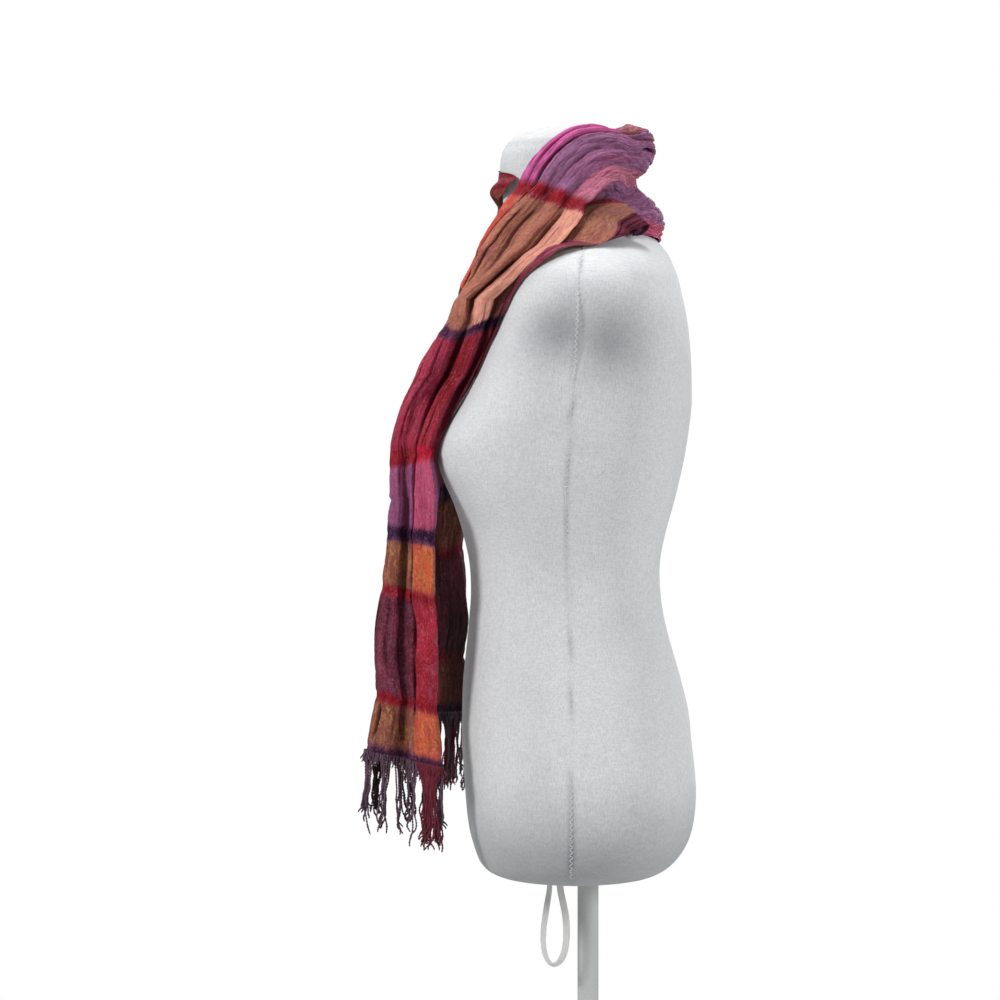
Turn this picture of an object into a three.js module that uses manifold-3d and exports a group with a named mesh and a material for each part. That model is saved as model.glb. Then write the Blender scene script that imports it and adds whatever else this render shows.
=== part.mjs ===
// A fringed crinkle scarf worn round the neck of a limbless dress form on a pole and round base.
// Millimetres, +Z up. The form faces -X and its left shoulder is at -Y.
// The origin is on the floor, on the pole's axis.
import * as THREE from "three";
import { mergeVertices } from "three/addons/utils/BufferGeometryUtils.js";
import Module from "manifold-3d";

const wasm = await Module();
wasm.setup();

// Driving sizes
const CLOTH_THICKNESS = 1.2;
const PIECE_GAP = 0.3;
const FORM_CLEARANCE = 2.3;
const CLEARANCE_SOFTNESS = 3;
const CLEARANCE_PASSES = 4;
const FINE_STEPS_PER_FLANK = 15;
// The grid's points in each flank, in fine steps: they crowd where the cloth turns.
const FLANK_STEPS = [3, 12, 15];
const SEAM_GAP = 0.75;
const SLOPE_STEP = 0.06;
// The part of a flank, at each of its ends, in which the cloth turns.
const TURN = 0.4;

const FORM_BOTTOM_Z = 609;
const FORM_RING_SIDES = 36;
const BUST_SIDE = 76;
const BUST_Z = 1030;
const BUST_SPREAD = 62;
const BUST_FALL = 58;
const BUST_OUT = 22;

const POLE_RADIUS = 10.5;
const POLE_SOCKET_DEPTH = 60;
const BASE_RADIUS = 165;
const BASE_THICKNESS = 8;
const BASE_EDGE = 3;
const COLLAR_RADIUS = 19;
const COLLAR_HEIGHT = 46;
const SOCKET_FLOOR = 5;
const ROUND_SIDES = 32;

const FRINGE_STRANDS = 38;
const FRINGE_STRIP = 5;
const STRAND_RADIUS = 1.05;
const STRAND_SIDES = 3;
const STRAND_SWAY = 9;
const STRAND_STEPS = 2;

// The dress form's rings, from the underside up. front and back are x at the middle of the ring,
// side is half its width, and square is the power of its superellipse.
const FORM_RINGS = [
  { z: 609, front: -74, back: 46, side: 104, square: 2.1 },
  { z: 613, front: -95, back: 68, side: 130, square: 2.1 },
  { z: 623, front: -107, back: 84, side: 148, square: 2.2 },
  { z: 640, front: -114, back: 97, side: 159, square: 2.2 },
  { z: 660, front: -119, back: 104, side: 166, square: 2.2 },
  { z: 688, front: -122, back: 107, side: 168, square: 2.2 },
  { z: 716, front: -124, back: 106, side: 166, square: 2.2 },
  { z: 744, front: -126, back: 103, side: 161, square: 2.2 },
  { z: 774, front: -126, back: 100, side: 154, square: 2.2 },
  { z: 804, front: -125, back: 93, side: 145, square: 2.2 },
  { z: 834, front: -122, back: 84, side: 135, square: 2.2 },
  { z: 864, front: -119, back: 76, side: 127, square: 2.2 },
  { z: 894, front: -117, back: 72, side: 122, square: 2.2 },
  { z: 924, front: -119, back: 72, side: 123, square: 2.2 },
  { z: 954, front: -126, back: 78, side: 129, square: 2.2 },
  { z: 979, front: -133, back: 85, side: 136, square: 2.3 },
  { z: 1004, front: -138, back: 91, side: 143, square: 2.3 },
  { z: 1029, front: -139, back: 96, side: 148, square: 2.3 },
  { z: 1054, front: -135, back: 100, side: 152, square: 2.3 },
  { z: 1079, front: -127, back: 103, side: 155, square: 2.3 },
  { z: 1104, front: -118, back: 103, side: 159, square: 2.3 },
  { z: 1129, front: -109, back: 102, side: 164, square: 2.3 },
  { z: 1152, front: -101, back: 100, side: 169, square: 2.2 },
  { z: 1172, front: -95, back: 97, side: 172, square: 2.1 },
  { z: 1190, front: -90, back: 93, side: 170, square: 2 },
  { z: 1206, front: -87, back: 89, side: 160, square: 2 },
  { z: 1219, front: -85, back: 84, side: 140, square: 2 },
  { z: 1230, front: -84, back: 79, side: 116, square: 2 },
  { z: 1240, front: -83, back: 71, side: 93, square: 2 },
  { z: 1252, front: -83, back: 61, side: 75, square: 2 },
  { z: 1268, front: -84, back: 53, side: 65, square: 2 },
  { z: 1292, front: -86, back: 47, side: 60, square: 2 },
  { z: 1318, front: -88, back: 43, side: 58, square: 2 },
  { z: 1336, front: -84, back: 39, side: 55, square: 2 },
  { z: 1347, front: -72, back: 28, side: 44, square: 2 },
  { z: 1354, front: -53, back: 10, side: 28, square: 2 },
];
const FORM_TOP_Z = 1357;

// The scarf's width, flank by flank, from its front edge to its lower edge. cloth is the flat width of the
// flank, and the other columns are its heading out from the cloth's general lie, in degrees, in each zone.
const ZONES = ["tail", "chest", "shoulder", "neck", "nape"];
const FLANKS = [
  { cloth: 19, tail: 50, chest: 70, shoulder: 62, neck: 70, nape: 70 },
  { cloth: 21, tail: -60, chest: -80, shoulder: -84, neck: 26, nape: 30 },
  { cloth: 27, tail: 88, chest: 80, shoulder: 66, neck: 16, nape: 8 },
  { cloth: 28, tail: 50, chest: -30, shoulder: -14, neck: -8, nape: -6 },
  { cloth: 28, tail: -60, chest: 24, shoulder: 16, neck: 12, nape: -14 },
  { cloth: 27, tail: -98, chest: -84, shoulder: -80, neck: -26, nape: -60 },
  { cloth: 22, tail: 70, chest: 84, shoulder: 70, neck: 20, nape: -136 },
  { cloth: 26, tail: -40, chest: -14, shoulder: -14, neck: -20, nape: 20 },
  { cloth: 29, tail: -100, chest: -130, shoulder: -158, neck: -86, nape: 50 },
  { cloth: 29, tail: 76, chest: 50, shoulder: 10, neck: 20, nape: 20 },
  { cloth: 29, tail: -80, chest: -44, shoulder: -56, neck: 16, nape: 4 },
  { cloth: 29, tail: 76, chest: 40, shoulder: 50, neck: -8, nape: -4 },
  { cloth: 23, tail: -80, chest: -40, shoulder: -52, neck: -36, nape: -36 },
  { cloth: 23, tail: 30, chest: 0, shoulder: -16, neck: -60, nape: -70 },
];
const CLOTH_WIDTH = FLANKS.reduce((sum, flank) => sum + flank.cloth, 0);
// The scarf is folded lengthwise here, in millimetres from its front edge: wrap turns the lie round it.
const WRAP_START = 150;
const WRAP_END = 222;

// Sections of the scarf from the hem of its left tail, round the nape, to the hem of its right tail.
// x, y, z is the section's middle; ax, ay, az is its direction across the cloth, front edge to lower edge;
// span and depth are its size in that direction and outwards; wrap is the lengthwise fold in degrees;
// zone picks the flank headings (0 tail to 4 nape); lag slides the lower edge back along the scarf.
const SECTIONS = [
  { x: -187, y: -74, z: 724, ax: 0.62, ay: -0.78, az: 0, span: 84, depth: 46, wrap: 60, zone: 0, lag: 2 },
  { x: -185, y: -72, z: 788, ax: 0.58, ay: -0.81, az: 0, span: 68, depth: 42, wrap: 80, zone: 0, lag: 4 },
  { x: -184, y: -71, z: 850, ax: 0.54, ay: -0.84, az: 0, span: 64, depth: 40, wrap: 90, zone: 0, lag: 8 },
  { x: -178, y: -71, z: 918, ax: 0.5, ay: -0.87, az: 0, span: 60, depth: 36, wrap: 90, zone: 0.1, lag: 14 },
  { x: -175, y: -71, z: 984, ax: 0.46, ay: -0.89, az: 0, span: 58, depth: 34, wrap: 80, zone: 0.3, lag: 20 },
  { x: -171, y: -71, z: 1040, ax: 0.44, ay: -0.9, az: -0.02, span: 58, depth: 32, wrap: 60, zone: 0.7, lag: 30 },
  { x: -145, y: -74, z: 1104, ax: 0.5, ay: -0.84, az: -0.2, span: 62, depth: 30, wrap: 30, zone: 1, lag: 46 },
  { x: -102, y: -83, z: 1179, ax: 0.6, ay: -0.7, az: -0.36, span: 68, depth: 26, wrap: 4, zone: 1.3, lag: 56 },
  { x: -62, y: -91, z: 1233, ax: 0.64, ay: -0.6, az: -0.5, span: 82, depth: 30, wrap: 0, zone: 2, lag: 52 },
  { x: -18, y: -91, z: 1270, ax: 0.64, ay: -0.45, az: -0.62, span: 122, depth: 32, wrap: 0, zone: 2.2, lag: 42 },
  { x: 19, y: -78, z: 1292, ax: 0.48, ay: -0.3, az: -0.82, span: 126, depth: 30, wrap: 0, zone: 2.9, lag: 24 },
  { x: 42, y: -54, z: 1299, ax: 0.26, ay: -0.2, az: -0.94, span: 120, depth: 28, wrap: 0, zone: 3.5, lag: 8 },
  { x: 56, y: -26, z: 1300, ax: 0.12, ay: -0.06, az: -0.99, span: 116, depth: 28, wrap: 0, zone: 4, lag: 0 },
  { x: 60, y: 0, z: 1299, ax: 0.1, ay: 0, az: -1, span: 115, depth: 28, wrap: 0, zone: 4, lag: 0 },
  { x: 56, y: 26, z: 1300, ax: 0.12, ay: 0.06, az: -0.99, span: 116, depth: 28, wrap: 0, zone: 4, lag: 0 },
  { x: 42, y: 54, z: 1299, ax: 0.26, ay: 0.2, az: -0.94, span: 118, depth: 28, wrap: 0, zone: 3.5, lag: -8 },
  { x: 17, y: 78, z: 1290, ax: 0.48, ay: 0.3, az: -0.82, span: 122, depth: 30, wrap: 0, zone: 2.9, lag: -22 },
  { x: -24, y: 90, z: 1264, ax: 0.64, ay: 0.46, az: -0.62, span: 116, depth: 32, wrap: 0, zone: 2.2, lag: -36 },
  { x: -72, y: 88, z: 1222, ax: 0.6, ay: 0.66, az: -0.46, span: 88, depth: 30, wrap: 0, zone: 2, lag: -42 },
  { x: -112, y: 83, z: 1167, ax: 0.5, ay: 0.8, az: -0.3, span: 70, depth: 26, wrap: 4, zone: 1.3, lag: -42 },
  { x: -146, y: 75, z: 1098, ax: 0.4, ay: 0.9, az: -0.14, span: 62, depth: 28, wrap: 30, zone: 1, lag: -34 },
  { x: -165, y: 72, z: 1036, ax: 0.34, ay: 0.94, az: 0, span: 58, depth: 28, wrap: 60, zone: 0.7, lag: -26 },
  { x: -162, y: 72, z: 980, ax: 0.3, ay: 0.95, az: 0, span: 58, depth: 30, wrap: 80, zone: 0.3, lag: -18 },
  { x: -155, y: 72, z: 915, ax: 0.26, ay: 0.97, az: 0, span: 60, depth: 32, wrap: 90, zone: 0.1, lag: -12 },
  { x: -155, y: 72, z: 850, ax: 0.26, ay: 0.97, az: 0, span: 64, depth: 34, wrap: 90, zone: 0, lag: -8 },
  { x: -155, y: 73, z: 764, ax: 0.3, ay: 0.95, az: 0, span: 78, depth: 38, wrap: 70, zone: 0, lag: -2 },
];

// Each stretch of the scarf that shows: its range of sections, and its own number of rows.
const STRETCHES = [
  { name: "scarf_left_tail", from: 0, to: 7, rows: 12 },
  { name: "scarf_left_shoulder", from: 7, to: 10, rows: 10 },
  { name: "scarf_neck_wrap", from: 10, to: 16, rows: 8 },
  { name: "scarf_right_shoulder", from: 16, to: 19, rows: 10 },
  { name: "scarf_right_tail", from: 19, to: 25, rows: 11 },
];

const FRINGES = [
  { name: "scarf_left_fringe", at: 0, inwards: 1, length: 72, seed: 3 },
  { name: "scarf_right_fringe", at: 25, inwards: -1, length: 72, seed: 11 },
];

// The tie that draws the cover in hangs in a loop from the underside.
const TIE_WIDTH = 7;
const TIE_THICKNESS = 2.4;
const TIE_SIDES = 8;
const TIE_STEPS = 20;
const TIE_ROUTE = [
  { x: -39, y: -26, z: 608.6 },
  { x: -39, y: -26, z: 597 },
  { x: -42, y: -27, z: 578 },
  { x: -44.5, y: -27.5, z: 560 },
  { x: -45, y: -28, z: 544 },
  { x: -42, y: -28, z: 530 },
  { x: -36, y: -28, z: 523 },
  { x: -29, y: -28, z: 526 },
  { x: -24, y: -27.5, z: 536 },
  { x: -22, y: -27, z: 552 },
  { x: -23, y: -26.5, z: 572 },
  { x: -28, y: -25.5, z: 597 },
  { x: -28, y: -25.5, z: 608.6 },
];

const colours = {
  jersey: new THREE.MeshStandardMaterial({ color: "#d3d6d6", roughness: 0.9, metalness: 0 }),
  metal: new THREE.MeshStandardMaterial({ color: "#b9bbb9", roughness: 0.45, metalness: 0.1 }),
  tail: new THREE.MeshStandardMaterial({ color: "#8c2f4c", roughness: 0.6, metalness: 0 }),
  shoulder: new THREE.MeshStandardMaterial({ color: "#a8705a", roughness: 0.6, metalness: 0 }),
  neck: new THREE.MeshStandardMaterial({ color: "#8d5f8a", roughness: 0.6, metalness: 0 }),
  fringe: new THREE.MeshStandardMaterial({ color: "#5a3347", roughness: 0.7, metalness: 0 }),
  tape: new THREE.MeshStandardMaterial({ color: "#c9cbc7", roughness: 0.8, metalness: 0 }),
};

// Catmull-Rom value of one column of a table at a real row number.
function columnAt(table, key, row) {
  const last = table.length - 1;
  const clamped = Math.min(Math.max(row, 0), last);
  const start = Math.min(Math.floor(clamped), last - 1);
  const part = clamped - start;
  const [before, here, next, after] = [-1, 0, 1, 2].map((step) => {
    const index = start + step;
    if (index < 0) return 2 * table[0][key] - table[1][key];
    if (index > last) return 2 * table[last][key] - table[last - 1][key];
    return table[index][key];
  });
  const slope = next - before;
  const bend = 2 * before - 5 * here + 4 * next - after;
  const twist = 3 * (here - next) + after - before;
  return here + 0.5 * part * (slope + part * (bend + part * twist));
}

function smoothStep(low, high, value) {
  const part = Math.min(Math.max((value - low) / (high - low), 0), 1);
  return part * part * (3 - 2 * part);
}

// Dress form

function formRingAt(z) {
  const last = FORM_RINGS.length - 1;
  let low = 0;
  while (low < last - 1 && FORM_RINGS[low + 1].z < z) low += 1;
  const part = Math.min(Math.max((z - FORM_RINGS[low].z) / (FORM_RINGS[low + 1].z - FORM_RINGS[low].z), 0), 1);
  const mix = (key) => FORM_RINGS[low][key] * (1 - part) + FORM_RINGS[low + 1][key] * part;
  return { front: mix("front"), back: mix("back"), side: mix("side"), square: mix("square") };
}

// Distance of the form's surface from its ring's middle, towards angle, with the bust's two swells.
function formRadius(z, angle) {
  const ring = formRingAt(z);
  const depth = (ring.back - ring.front) / 2;
  const across = Math.abs(Math.cos(angle)) / depth;
  const aside = Math.abs(Math.sin(angle)) / ring.side;
  const radius = (across ** ring.square + aside ** ring.square) ** (-1 / ring.square);
  if (Math.cos(angle) > 0) return radius;
  const offSide = (Math.abs(radius * Math.sin(angle)) - BUST_SIDE) / BUST_SPREAD;
  const offHeight = (z - BUST_Z) / BUST_FALL;
  return radius + BUST_OUT * Math.exp(-offSide * offSide * 2 - offHeight * offHeight * 1.5);
}

function formMiddle(z) {
  const ring = formRingAt(z);
  return (ring.front + ring.back) / 2;
}

function dressForm() {
  const positions = [];
  const faces = [];
  for (const ring of FORM_RINGS) {
    for (let side = 0; side < FORM_RING_SIDES; side += 1) {
      const angle = (2 * Math.PI * side) / FORM_RING_SIDES;
      const radius = formRadius(ring.z, angle);
      positions.push(formMiddle(ring.z) + radius * Math.cos(angle), radius * Math.sin(angle), ring.z);
    }
  }
  const underside = FORM_RINGS.length * FORM_RING_SIDES;
  const crown = underside + 1;
  positions.push(formMiddle(FORM_BOTTOM_Z), 0, FORM_BOTTOM_Z);
  positions.push(formMiddle(FORM_TOP_Z), 0, FORM_TOP_Z);
  const topRing = (FORM_RINGS.length - 1) * FORM_RING_SIDES;
  for (let side = 0; side < FORM_RING_SIDES; side += 1) {
    const next = (side + 1) % FORM_RING_SIDES;
    faces.push(underside, next, side);
    faces.push(crown, topRing + side, topRing + next);
    for (let ring = 0; ring < FORM_RINGS.length - 1; ring += 1) {
      const low = ring * FORM_RING_SIDES;
      const high = low + FORM_RING_SIDES;
      faces.push(low + side, low + next, high + next);
      faces.push(low + side, high + next, high + side);
    }
  }
  const socket = new THREE.CylinderGeometry(
    POLE_RADIUS + PIECE_GAP,
    POLE_RADIUS + PIECE_GAP,
    2 * POLE_SOCKET_DEPTH,
    ROUND_SIDES,
  );
  socket.rotateX(Math.PI / 2).translate(0, 0, FORM_BOTTOM_Z);
  return fromSolid(toSolid(geometryOf(positions, faces)).subtract(toSolid(socket)));
}

function formDepth(point) {
  const middle = formMiddle(point.z);
  const angle = Math.atan2(point.y, point.x - middle);
  return Math.hypot(point.x - middle, point.y) - formRadius(point.z, angle);
}

// Direction out of the form at a point, and the point's distance from its surface that way.
function fromForm(point) {
  const slope = new THREE.Vector3();
  for (const axis of ["x", "y", "z"]) {
    const ahead = point.clone();
    const behind = point.clone();
    ahead[axis] += 1;
    behind[axis] -= 1;
    slope[axis] = (formDepth(ahead) - formDepth(behind)) / 2;
  }
  return { distance: formDepth(point) / slope.length(), outwards: slope.normalize() };
}

// Moves a point of the scarf out of the form: first softly, so that layers keep their order.
function clearOfForm(point) {
  const moved = point.clone();
  const first = fromForm(moved);
  const depth = (first.distance - FORM_CLEARANCE) / CLEARANCE_SOFTNESS;
  if (depth > 12) return moved;
  const cleared = FORM_CLEARANCE + CLEARANCE_SOFTNESS * Math.log1p(Math.exp(depth));
  moved.addScaledVector(first.outwards, cleared - first.distance);
  for (let pass = 1; pass < CLEARANCE_PASSES; pass += 1) {
    const { distance, outwards } = fromForm(moved);
    moved.addScaledVector(outwards, Math.max(FORM_CLEARANCE - distance, 0));
  }
  return moved;
}

// Scarf

function sectionAt(row) {
  const section = {};
  for (const key of Object.keys(SECTIONS[0])) section[key] = columnAt(SECTIONS, key, row);
  section.middle = new THREE.Vector3(section.x, section.y, section.z);
  const step = 0.02;
  const ahead = ["x", "y", "z"].map((key) => columnAt(SECTIONS, key, row + step));
  const behind = ["x", "y", "z"].map((key) => columnAt(SECTIONS, key, row - step));
  section.along = new THREE.Vector3(...ahead).sub(new THREE.Vector3(...behind)).normalize();
  section.across = new THREE.Vector3(section.ax, section.ay, section.az);
  section.across.addScaledVector(section.along, -section.across.dot(section.along)).normalize();
  section.out = new THREE.Vector3().crossVectors(section.across, section.along);
  return section;
}

// Heading of the cloth at a distance across it, in radians, from the flanks and the lengthwise fold.
function headingAt(section, distance) {
  const zone = Math.min(Math.max(section.zone, 0), ZONES.length - 1);
  const low = Math.min(Math.floor(zone), ZONES.length - 2);
  const part = zone - low;
  const flankHeading = (flank) => flank[ZONES[low]] * (1 - part) + flank[ZONES[low + 1]] * part;
  let edge = 0;
  let heading = flankHeading(FLANKS[0]);
  for (let index = 1; index < FLANKS.length; index += 1) {
    const [last, next] = [FLANKS[index - 1], FLANKS[index]];
    edge += last.cloth;
    const mix = smoothStep(edge - TURN * last.cloth, edge + TURN * next.cloth, distance);
    heading += (flankHeading(next) - flankHeading(last)) * mix;
  }
  const turned = section.wrap * smoothStep(WRAP_START, WRAP_END, distance);
  return THREE.MathUtils.degToRad(heading - turned);
}

// Points of one section of the scarf, from its front edge to its lower edge.
function sectionPoints(row) {
  const section = sectionAt(row);
  const profile = [{ a: 0, b: 0, distance: 0 }];
  let [a, b, edge] = [0, 0, 0];
  for (const flank of FLANKS) {
    const step = flank.cloth / FINE_STEPS_PER_FLANK;
    for (let fine = 0; fine < FINE_STEPS_PER_FLANK; fine += 1) {
      const heading = headingAt(section, edge + (fine + 0.5) * step);
      a += Math.cos(heading) * step;
      b += Math.sin(heading) * step;
      if (FLANK_STEPS.includes(fine + 1)) {
        profile.push({ a, b, distance: edge + (fine + 1) * step });
      }
    }
    edge += flank.cloth;
  }
  const rangeOf = (key) => {
    const values = profile.map((point) => point[key]);
    return [Math.min(...values), Math.max(...values)];
  };
  const [lowA, highA] = rangeOf("a");
  const [lowB, highB] = rangeOf("b");
  const widen = section.span / (highA - lowA);
  const deepen = section.depth / (highB - lowB);
  return profile.map((point) => {
    const placed = section.middle.clone();
    placed.addScaledVector(section.across, (point.a - (lowA + highA) / 2) * widen);
    placed.addScaledVector(section.out, (point.b - (lowB + highB) / 2) * deepen);
    placed.addScaledVector(section.along, section.lag * (point.distance / CLOTH_WIDTH - 0.5));
    return clearOfForm(placed);
  });
}

function lengthBetween(from, to) {
  const steps = 40;
  let length = 0;
  let last = sectionAt(from).middle;
  for (let step = 1; step <= steps; step += 1) {
    const next = sectionAt(from + ((to - from) * step) / steps).middle;
    length += next.distanceTo(last);
    last = next;
  }
  return length;
}

// A closed wall round a grid of points, half of its thickness to each side. slopes holds the cloth's
// direction along its length at each point.
function wallOf(grid, slopes, thickness) {
  const rows = grid.length;
  const columns = grid[0].length;
  const offset = (row, column) => {
    const acrossCloth = grid[row][Math.min(column + 1, columns - 1)]
      .clone()
      .sub(grid[row][Math.max(column - 1, 0)]);
    return acrossCloth.cross(slopes[row][column]).normalize().multiplyScalar(thickness / 2);
  };
  const positions = [];
  const faces = [];
  for (const side of [1, -1]) {
    for (let row = 0; row < rows; row += 1) {
      for (let column = 0; column < columns; column += 1) {
        positions.push(...grid[row][column].clone().addScaledVector(offset(row, column), side));
      }
    }
  }
  const outer = (row, column) => row * columns + column;
  const inner = (row, column) => rows * columns + row * columns + column;
  const quad = (a, b, c, d) => faces.push(a, b, c, a, c, d);
  for (let row = 0; row < rows - 1; row += 1) {
    for (let column = 0; column < columns - 1; column += 1) {
      quad(outer(row, column), outer(row, column + 1), outer(row + 1, column + 1), outer(row + 1, column));
      quad(inner(row, column), inner(row + 1, column), inner(row + 1, column + 1), inner(row, column + 1));
    }
    quad(outer(row, 0), outer(row + 1, 0), inner(row + 1, 0), inner(row, 0));
    const last = columns - 1;
    quad(outer(row, last), inner(row, last), inner(row + 1, last), outer(row + 1, last));
  }
  for (let column = 0; column < columns - 1; column += 1) {
    quad(outer(0, column), inner(0, column), inner(0, column + 1), outer(0, column + 1));
    const last = rows - 1;
    quad(outer(last, column), outer(last, column + 1), inner(last, column + 1), inner(last, column));
  }
  return geometryOf(positions, faces);
}

function slopesAt(row) {
  const behind = sectionPoints(row - SLOPE_STEP);
  return sectionPoints(row + SLOPE_STEP).map((point, index) => point.sub(behind[index]));
}

function scarfStretch(stretch) {
  const length = lengthBetween(stretch.from, stretch.to);
  const inset = (SEAM_GAP / 2 / length) * (stretch.to - stretch.from);
  const from = stretch.from + inset;
  const to = stretch.to - inset;
  const grid = [];
  const slopes = [];
  for (let step = 0; step <= stretch.rows; step += 1) {
    const row = from + ((to - from) * step) / stretch.rows;
    grid.push(sectionPoints(row));
    slopes.push(slopesAt(row));
  }
  return wallOf(grid, slopes, CLOTH_THICKNESS);
}

// Fringe

// Repeatable numbers from 0 to 1.
function seeded(seed) {
  let state = seed;
  return () => {
    state = (state * 16807) % 2147483647;
    return state / 2147483647;
  };
}

function strand(root, length, sway, turn) {
  const positions = [];
  const faces = [];
  for (let step = 0; step <= STRAND_STEPS; step += 1) {
    const part = step / STRAND_STEPS;
    const swing = sway * Math.sin(Math.PI * part * 1.4);
    for (let side = 0; side < STRAND_SIDES; side += 1) {
      const angle = (2 * Math.PI * side) / STRAND_SIDES;
      positions.push(
        root.x + swing * Math.cos(turn) + STRAND_RADIUS * Math.cos(angle),
        root.y + swing * Math.sin(turn) + STRAND_RADIUS * Math.sin(angle),
        root.z - part * length,
      );
    }
  }
  for (let side = 0; side < STRAND_SIDES; side += 1) {
    const next = (side + 1) % STRAND_SIDES;
    for (let step = 0; step < STRAND_STEPS; step += 1) {
      const high = step * STRAND_SIDES;
      const low = high + STRAND_SIDES;
      faces.push(low + side, low + next, high + next);
      faces.push(low + side, high + next, high + side);
    }
    if (side > 0 && side < STRAND_SIDES - 1) {
      const end = STRAND_STEPS * STRAND_SIDES;
      faces.push(0, side, side + 1);
      faces.push(end, end + side + 1, end + side);
    }
  }
  return geometryOf(positions, faces);
}

// The strands of one end, their roots fused into a narrow strip just below the hem.
function fringe(end) {
  const chance = seeded(end.seed);
  const hem = sectionPoints(end.at);
  const drop = (point, fall) => point.clone().setZ(point.z - fall);
  const upper = hem.map((point) => drop(point, PIECE_GAP + CLOTH_THICKNESS / 2));
  const lower = hem.map((point) => drop(point, FRINGE_STRIP));
  const grid = end.inwards > 0 ? [lower, upper] : [upper, lower];
  const slopes = slopesAt(end.at);
  let solid = toSolid(wallOf(grid, [slopes, slopes], CLOTH_THICKNESS));
  for (let index = 0; index < FRINGE_STRANDS; index += 1) {
    const place = ((index + 0.5) / FRINGE_STRANDS) * (hem.length - 1);
    const before = Math.floor(place);
    const root = hem[before].clone().lerp(hem[before + 1], place - before);
    const length = end.length * (0.88 + 0.12 * chance());
    const hanging = strand(drop(root, FRINGE_STRIP / 2), length, STRAND_SWAY * (chance() - 0.5), 2 * Math.PI * chance());
    solid = solid.add(toSolid(hanging));
  }
  return fromSolid(solid);
}

// Stand and tie

function pole() {
  const top = FORM_BOTTOM_Z + POLE_SOCKET_DEPTH - PIECE_GAP;
  const bottom = SOCKET_FLOOR + PIECE_GAP;
  const shaft = new THREE.CylinderGeometry(POLE_RADIUS, POLE_RADIUS, top - bottom, ROUND_SIDES);
  return shaft.rotateX(Math.PI / 2).translate(0, 0, (top + bottom) / 2);
}

// A round foot with a collar whose socket holds the pole.
function standBase() {
  const socketRadius = POLE_RADIUS + PIECE_GAP;
  const profile = [
    [0, 0],
    [BASE_RADIUS - BASE_EDGE, 0],
    [BASE_RADIUS, BASE_EDGE],
    [BASE_RADIUS - BASE_EDGE, BASE_THICKNESS - 1],
    [COLLAR_RADIUS + 4, BASE_THICKNESS],
    [COLLAR_RADIUS, BASE_THICKNESS + 4],
    [COLLAR_RADIUS, COLLAR_HEIGHT - 2],
    [COLLAR_RADIUS - 2, COLLAR_HEIGHT],
    [socketRadius, COLLAR_HEIGHT],
    [socketRadius, SOCKET_FLOOR],
    [0, SOCKET_FLOOR],
  ];
  const turned = new THREE.LatheGeometry(
    profile.map(([radius, height]) => new THREE.Vector2(radius, height)),
    ROUND_SIDES,
  );
  return turned.rotateX(Math.PI / 2);
}

function coverTie() {
  const route = new THREE.CatmullRomCurve3(
    TIE_ROUTE.map(({ x, y, z }) => new THREE.Vector3(x, y, z)),
  );
  const section = new THREE.Shape();
  for (let side = 0; side < TIE_SIDES; side += 1) {
    const angle = (2 * Math.PI * (side + 0.5)) / TIE_SIDES;
    const point = [(TIE_THICKNESS / 2) * Math.cos(angle), (TIE_WIDTH / 2) * Math.sin(angle)];
    if (side === 0) section.moveTo(...point);
    else section.lineTo(...point);
  }
  section.closePath();
  return new THREE.ExtrudeGeometry(section, { steps: TIE_STEPS, extrudePath: route, bevelEnabled: false });
}

// Solids

function geometryOf(positions, faces) {
  const geometry = new THREE.BufferGeometry();
  geometry.setAttribute("position", new THREE.BufferAttribute(new Float32Array(positions), 3));
  geometry.setIndex(faces);
  geometry.computeVertexNormals();
  return geometry;
}

function toSolid(geometry) {
  const bare = geometry.clone();
  bare.deleteAttribute("normal");
  bare.deleteAttribute("uv");
  const merged = mergeVertices(bare, 1e-4);
  return new wasm.Manifold(
    new wasm.Mesh({
      numProp: 3,
      vertProperties: new Float32Array(merged.attributes.position.array),
      triVerts: new Uint32Array(merged.index.array),
    }),
  );
}

function fromSolid(solid) {
  const mesh = solid.getMesh();
  const positions = [];
  for (let vertex = 0; vertex < mesh.numVert; vertex += 1) {
    const at = vertex * mesh.numProp;
    positions.push(...mesh.vertProperties.subarray(at, at + 3));
  }
  return geometryOf(positions, [...mesh.triVerts]);
}

function piece(name, geometry, material) {
  const mesh = new THREE.Mesh(geometry, material);
  mesh.name = name;
  return mesh;
}

const stand = new THREE.Group();
stand.add(piece("stand_base", standBase(), colours.metal));
stand.add(piece("stand_pole", pole(), colours.metal));
stand.add(piece("dress_form", dressForm(), colours.jersey));
stand.add(piece("cover_tie", coverTie(), colours.tape));

const scarf = new THREE.Group();
for (const stretch of STRETCHES) {
  const kind = ["tail", "shoulder", "neck"].find((word) => stretch.name.includes(word));
  scarf.add(piece(stretch.name, scarfStretch(stretch), colours[kind]));
}
for (const end of FRINGES) scarf.add(piece(end.name, fringe(end), colours.fringe));

const part = new THREE.Group();
part.add(stand, scarf);

export default part;
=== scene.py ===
"""Looks of a fringed crinkle scarf on a limbless dress form. Metres, +Z up, and the form faces -X.

The tables are in millimetres, and MM turns them into metres. The form's rings and the tie's route are the
solids' own. The scarf's sections and headings are not: they follow the photo more closely than its solids do.
"""

import math

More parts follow.
